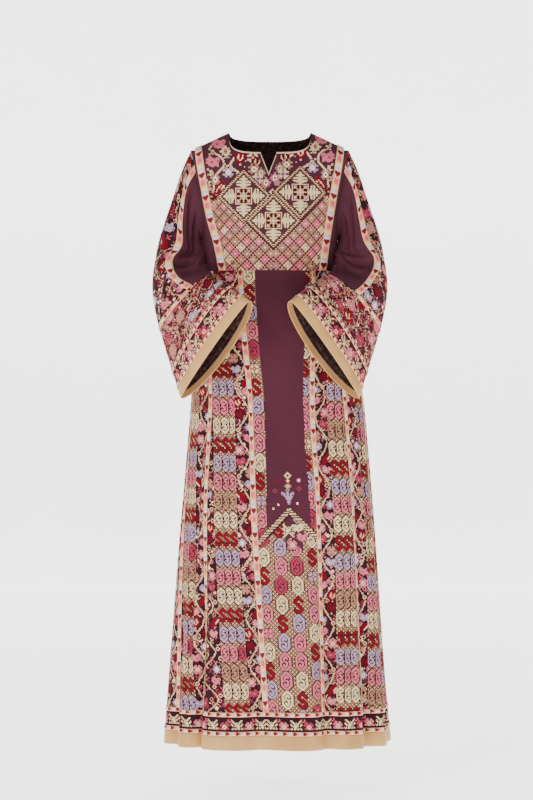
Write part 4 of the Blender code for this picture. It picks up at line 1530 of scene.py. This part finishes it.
def sleeve_pieces(side, name):
    """One sleeve: stitched over-arm and bell, plain inset, satin cuff and its ribbons."""
    sleeve = Sleeve(side)
    flip = side > 0
    around = sleeve.round
    over, cloth = sleeve_cloth(sleeve, name)
    rows = sleeve.rows(np.linspace(0, INSET_END, 160))
    for end, low, high in (("front", BORDER_LOW, BORDER_HIGH), ("back", -BORDER_HIGH, -BORDER_LOW)):
        strip = pick(rows, around, np.linspace(low, high, 7))
        node = f"ribbon_sleeve_{end}_{name}"
        ribbon(node, *strip, flip, HEART_PITCH, RIBBON, seed=0.2)
    rows = sleeve.rows(np.linspace(INSET_END, BELL_RIBBON_END, 7))
    strip = turned(pick(rows, around, np.linspace(-BORDER_LOW, BORDER_LOW, 90)))
    ribbon(f"ribbon_bell_{name}", *strip, not flip, HEART_PITCH, RIBBON)
    for level, at in (("lower", CUFF_BAND), ("upper", CUFF_BAND + CUFF_RIBBON + CUFF_FLORAL)):
        rows = sleeve.rows((), np.linspace(at + CUFF_RIBBON, at, 5))
        strip = turned([grid[:, ::2] for grid in rows])
        node = f"ribbon_cuff_{level}_{name}"
        ribbon(node, *strip, not flip, CUFF_PITCH, NARROW, wraps=True)
    declare(over, cloth)
    rows = sleeve.rows(np.linspace(0, INSET_END, 130))
    inset = pick(rows, around, np.linspace(BORDER, 2 * HALF_ROUND - BORDER, 90))
    declare(panel(f"sleeve_inset_{name}", *inset, CREPE, flip, 2), inset[0])
    to_edge = np.linspace(CUFF_BAND, 0.0, 13)
    rows, normals = sleeve.rows((), to_edge)
    # Inside the cuff, satin turns in over the edge and a narrow ribbon covers its hem.
    lining = np.where(to_edge[:-1] < 0.011, 0, np.where(to_edge[:-1] < 0.018, 2, 1))
    piece = satin_band(
        f"cuff_band_{name}", rows[:, ::2], normals[:, ::2], 0.6 * MM, (SATIN, INSIDE, NARROW),
        flip=flip, wraps=True, inner_slots=lining,
    )
    declare(piece, rows)


def gore_piece(number, gore, drops):
    """One gore: stitches are counted from the seam nearer the front, as its chart is."""
    names = list(SKIRT_SEAMS)
    left = seam_angle(names[number], drops)
    right = seam_angle(names[(number + 1) % len(names)], drops)
    right = np.where(right < left, right + 360, right)
    angles = left[:, None] + np.linspace(0, 1, 220) * (right - left)[:, None]
    points, normals = skirt_strip(angles, drops)
    lengths = row_lengths(points)
    width = lengths / STITCH
    from_left = number <= 5
    columns = int(np.ceil(width.max())) + 1
    arcs = np.minimum(np.arange(columns + 1) * STITCH, lengths[:, None])
    if from_left:
        cloth, normals = along_rows(points, normals, arcs, 0)
    else:
        cloth, normals = along_rows(points, normals, -arcs[:, ::-1], points.shape[1] - 1)
    if number == 0:
        chart = front_chart(drops, width)
    else:
        chart = gore_chart(drops, width, number, width.mean() > 78, not from_left)
    chart = chart[:, :columns][:, ::1 if from_left else -1]
    piece = panel(f"skirt_{gore}", cloth, normals, STITCHED, False, 4, thread=chart)
    declare(piece, cloth)


def skirt_pieces():
    """Gores, the ribbon on each seam, the hem's ribbons and its satin band."""
    top = WAIST_DROP + 0.4 * MM
    end = HEM_DROP - HEM_BAND
    drops = np.linspace(top, end, int(round((end - top) / STITCH)) + 1)
    zone_start = end - HEM_FLORAL - 2 * HEM_RIBBON
    for number, seam in enumerate(SKIRT_SEAMS):
        along = np.linspace(top, zone_start, 300)
        trim = np.degrees(SKIRT_RIBBON_HALF / curve(along, SKIRT["drop"], SKIRT["half_width"]))
        angles = seam_angle(seam, along)[:, None] + trim[:, None] * np.linspace(-1, 1, 7)
        strip = skirt_strip(angles, along)
        node = f"ribbon_skirt_{seam}"
        ribbon(node, *strip, False, HEART_PITCH, RIBBON, seed=0.31 * number)
    for number, gore in enumerate(GORES):
        gore_piece(number, gore, drops)
    angles = np.linspace(-22.0, 338.0, 721)
    hem = []
    for level, start in (("upper", zone_start), ("lower", end - HEM_RIBBON)):
        rows = np.linspace(start, start + HEM_RIBBON, 5)
        strip = turned(skirt_strip(np.broadcast_to(angles, (5, len(angles))), rows))
        hem.append(ribbon(f"ribbon_hem_{level}", *strip, True, HEM_PITCH, NARROW, wraps=True))
    for label, start, edging in (("front", -90.0, hem[0]), ("back", 90.0, hem[1])):
        spread = np.broadcast_to(np.linspace(start, start + 180, 361), (13, 361))
        points, normals = skirt_strip(spread, np.linspace(end, HEM_DROP, 13))
        looks = (SATIN, SATIN)
        node = f"hem_band_{label}"
        piece = satin_band(node, points, normals, 0.7 * MM, looks, flip=False, coarse=2)
        declare(piece, points)


def pointing(aim):
    """Euler angles that turn -Z along the aim."""
    flat = np.hypot(aim[0], aim[1])
    return (np.arctan2(flat, -aim[2]), 0.0, np.arctan2(-aim[0], aim[1]))


def stand(name, data):
    """A new object with this data, in the scene."""
    made = bpy.data.objects.new(name, data)
    bpy.context.scene.collection.objects.link(made)
    return made


def backdrop():
    """Pale floor that sweeps up to a wall, which stands further off than the camera does."""
    floor_z = -1.53
    radius = 2.0
    wall = 9.0
    profile = [(-wall, floor_z)]
    for a in np.linspace(0, np.pi / 2, 17):
        profile.append((wall - radius + radius * np.sin(a), floor_z + radius * (1 - np.cos(a))))
    profile += [(wall, 9.0)]
    mesh = bpy.data.meshes.new("floor")
    verts = [(x, y, z) for y, z in profile for x in (-14.0, 14.0)]
    mesh.from_pydata(verts, [], [(k, k + 1, k + 3, k + 2) for k in range(0, len(verts) - 2, 2)])
    mesh.shade_smooth()
    # Lamps that shine on the paper are stood in for by a faint glow of its own.
    paper, tree = material(
        "pale matte paper", Roughness=0.9, Emission_Color=linear("FFFEFC"), Emission_Strength=2.6,
    )
    grain = put(tree, "TexNoise", {"Vector": put(tree, "TexCoord", out="Object"), "Scale": 3.0})
    colour = put(tree, "ValToRGB", {"Fac": grain}, ((0.3, "ECEBEA"), (0.7, "F3F2F1")))
    tree.links.new(colour, tree.nodes["Principled BSDF"].inputs["Base Color"])
    mesh.materials.append(paper)
    stand("backdrop", mesh)


def studio():
    """Pale floor and backdrop, soft light from the front left, and the camera."""
    backdrop()
    world = bpy.data.worlds.new("soft light")
    world.use_nodes = True
    sky = world.node_tree.nodes["Background"]
    sky.inputs[0].default_value = (1.0, 0.99, 0.98, 1.0)
    sky.inputs[1].default_value = 0.18
    bpy.context.scene.world = world
    for name, place, size, power in (
        ("key", (-2.9, -4.3, 2.1), 1.8, 145.0),
        ("fill", (3.6, -4.4, 0.4), 3.0, 22.0),
        ("top", (0.0, -1.5, 3.2), 2.5, 28.0),
    ):
        lamp = bpy.data.lights.new(name, "AREA")
        lamp.shape = "DISK"
        lamp.size = size
        lamp.energy = power
        light = stand(name, lamp)
        light.location = place
        light.rotation_euler = pointing(np.array((0.0, 0.0, -0.65)) - np.array(place))
    distance = 6.5
    camera = bpy.data.cameras.new("camera")
    camera.sensor_fit = "VERTICAL"
    camera.sensor_height = 24.0
    # The frame is 1.84 m tall at the front of the dress.
    camera.lens = camera.sensor_height * (distance - 0.12) / 1.84
    eye = stand("camera", camera)
    eye.location = (-0.008, -distance, -0.626)
    eye.rotation_euler = (np.pi / 2, 0.0, 0.0)
    bpy.context.scene.camera = eye


def main():
    """Make every piece, then the studio."""
    (front, front_points), (back, back_points) = stitched_bodice()
    bindings = neck_bindings()
    chest = chest_ribbons()
    declare(front, front_points)
    declare(back, back_points)
    side_panels()
    for side, name in SIDES:
        sleeve_pieces(side, name)
    skirt_pieces()
    studio()


main()
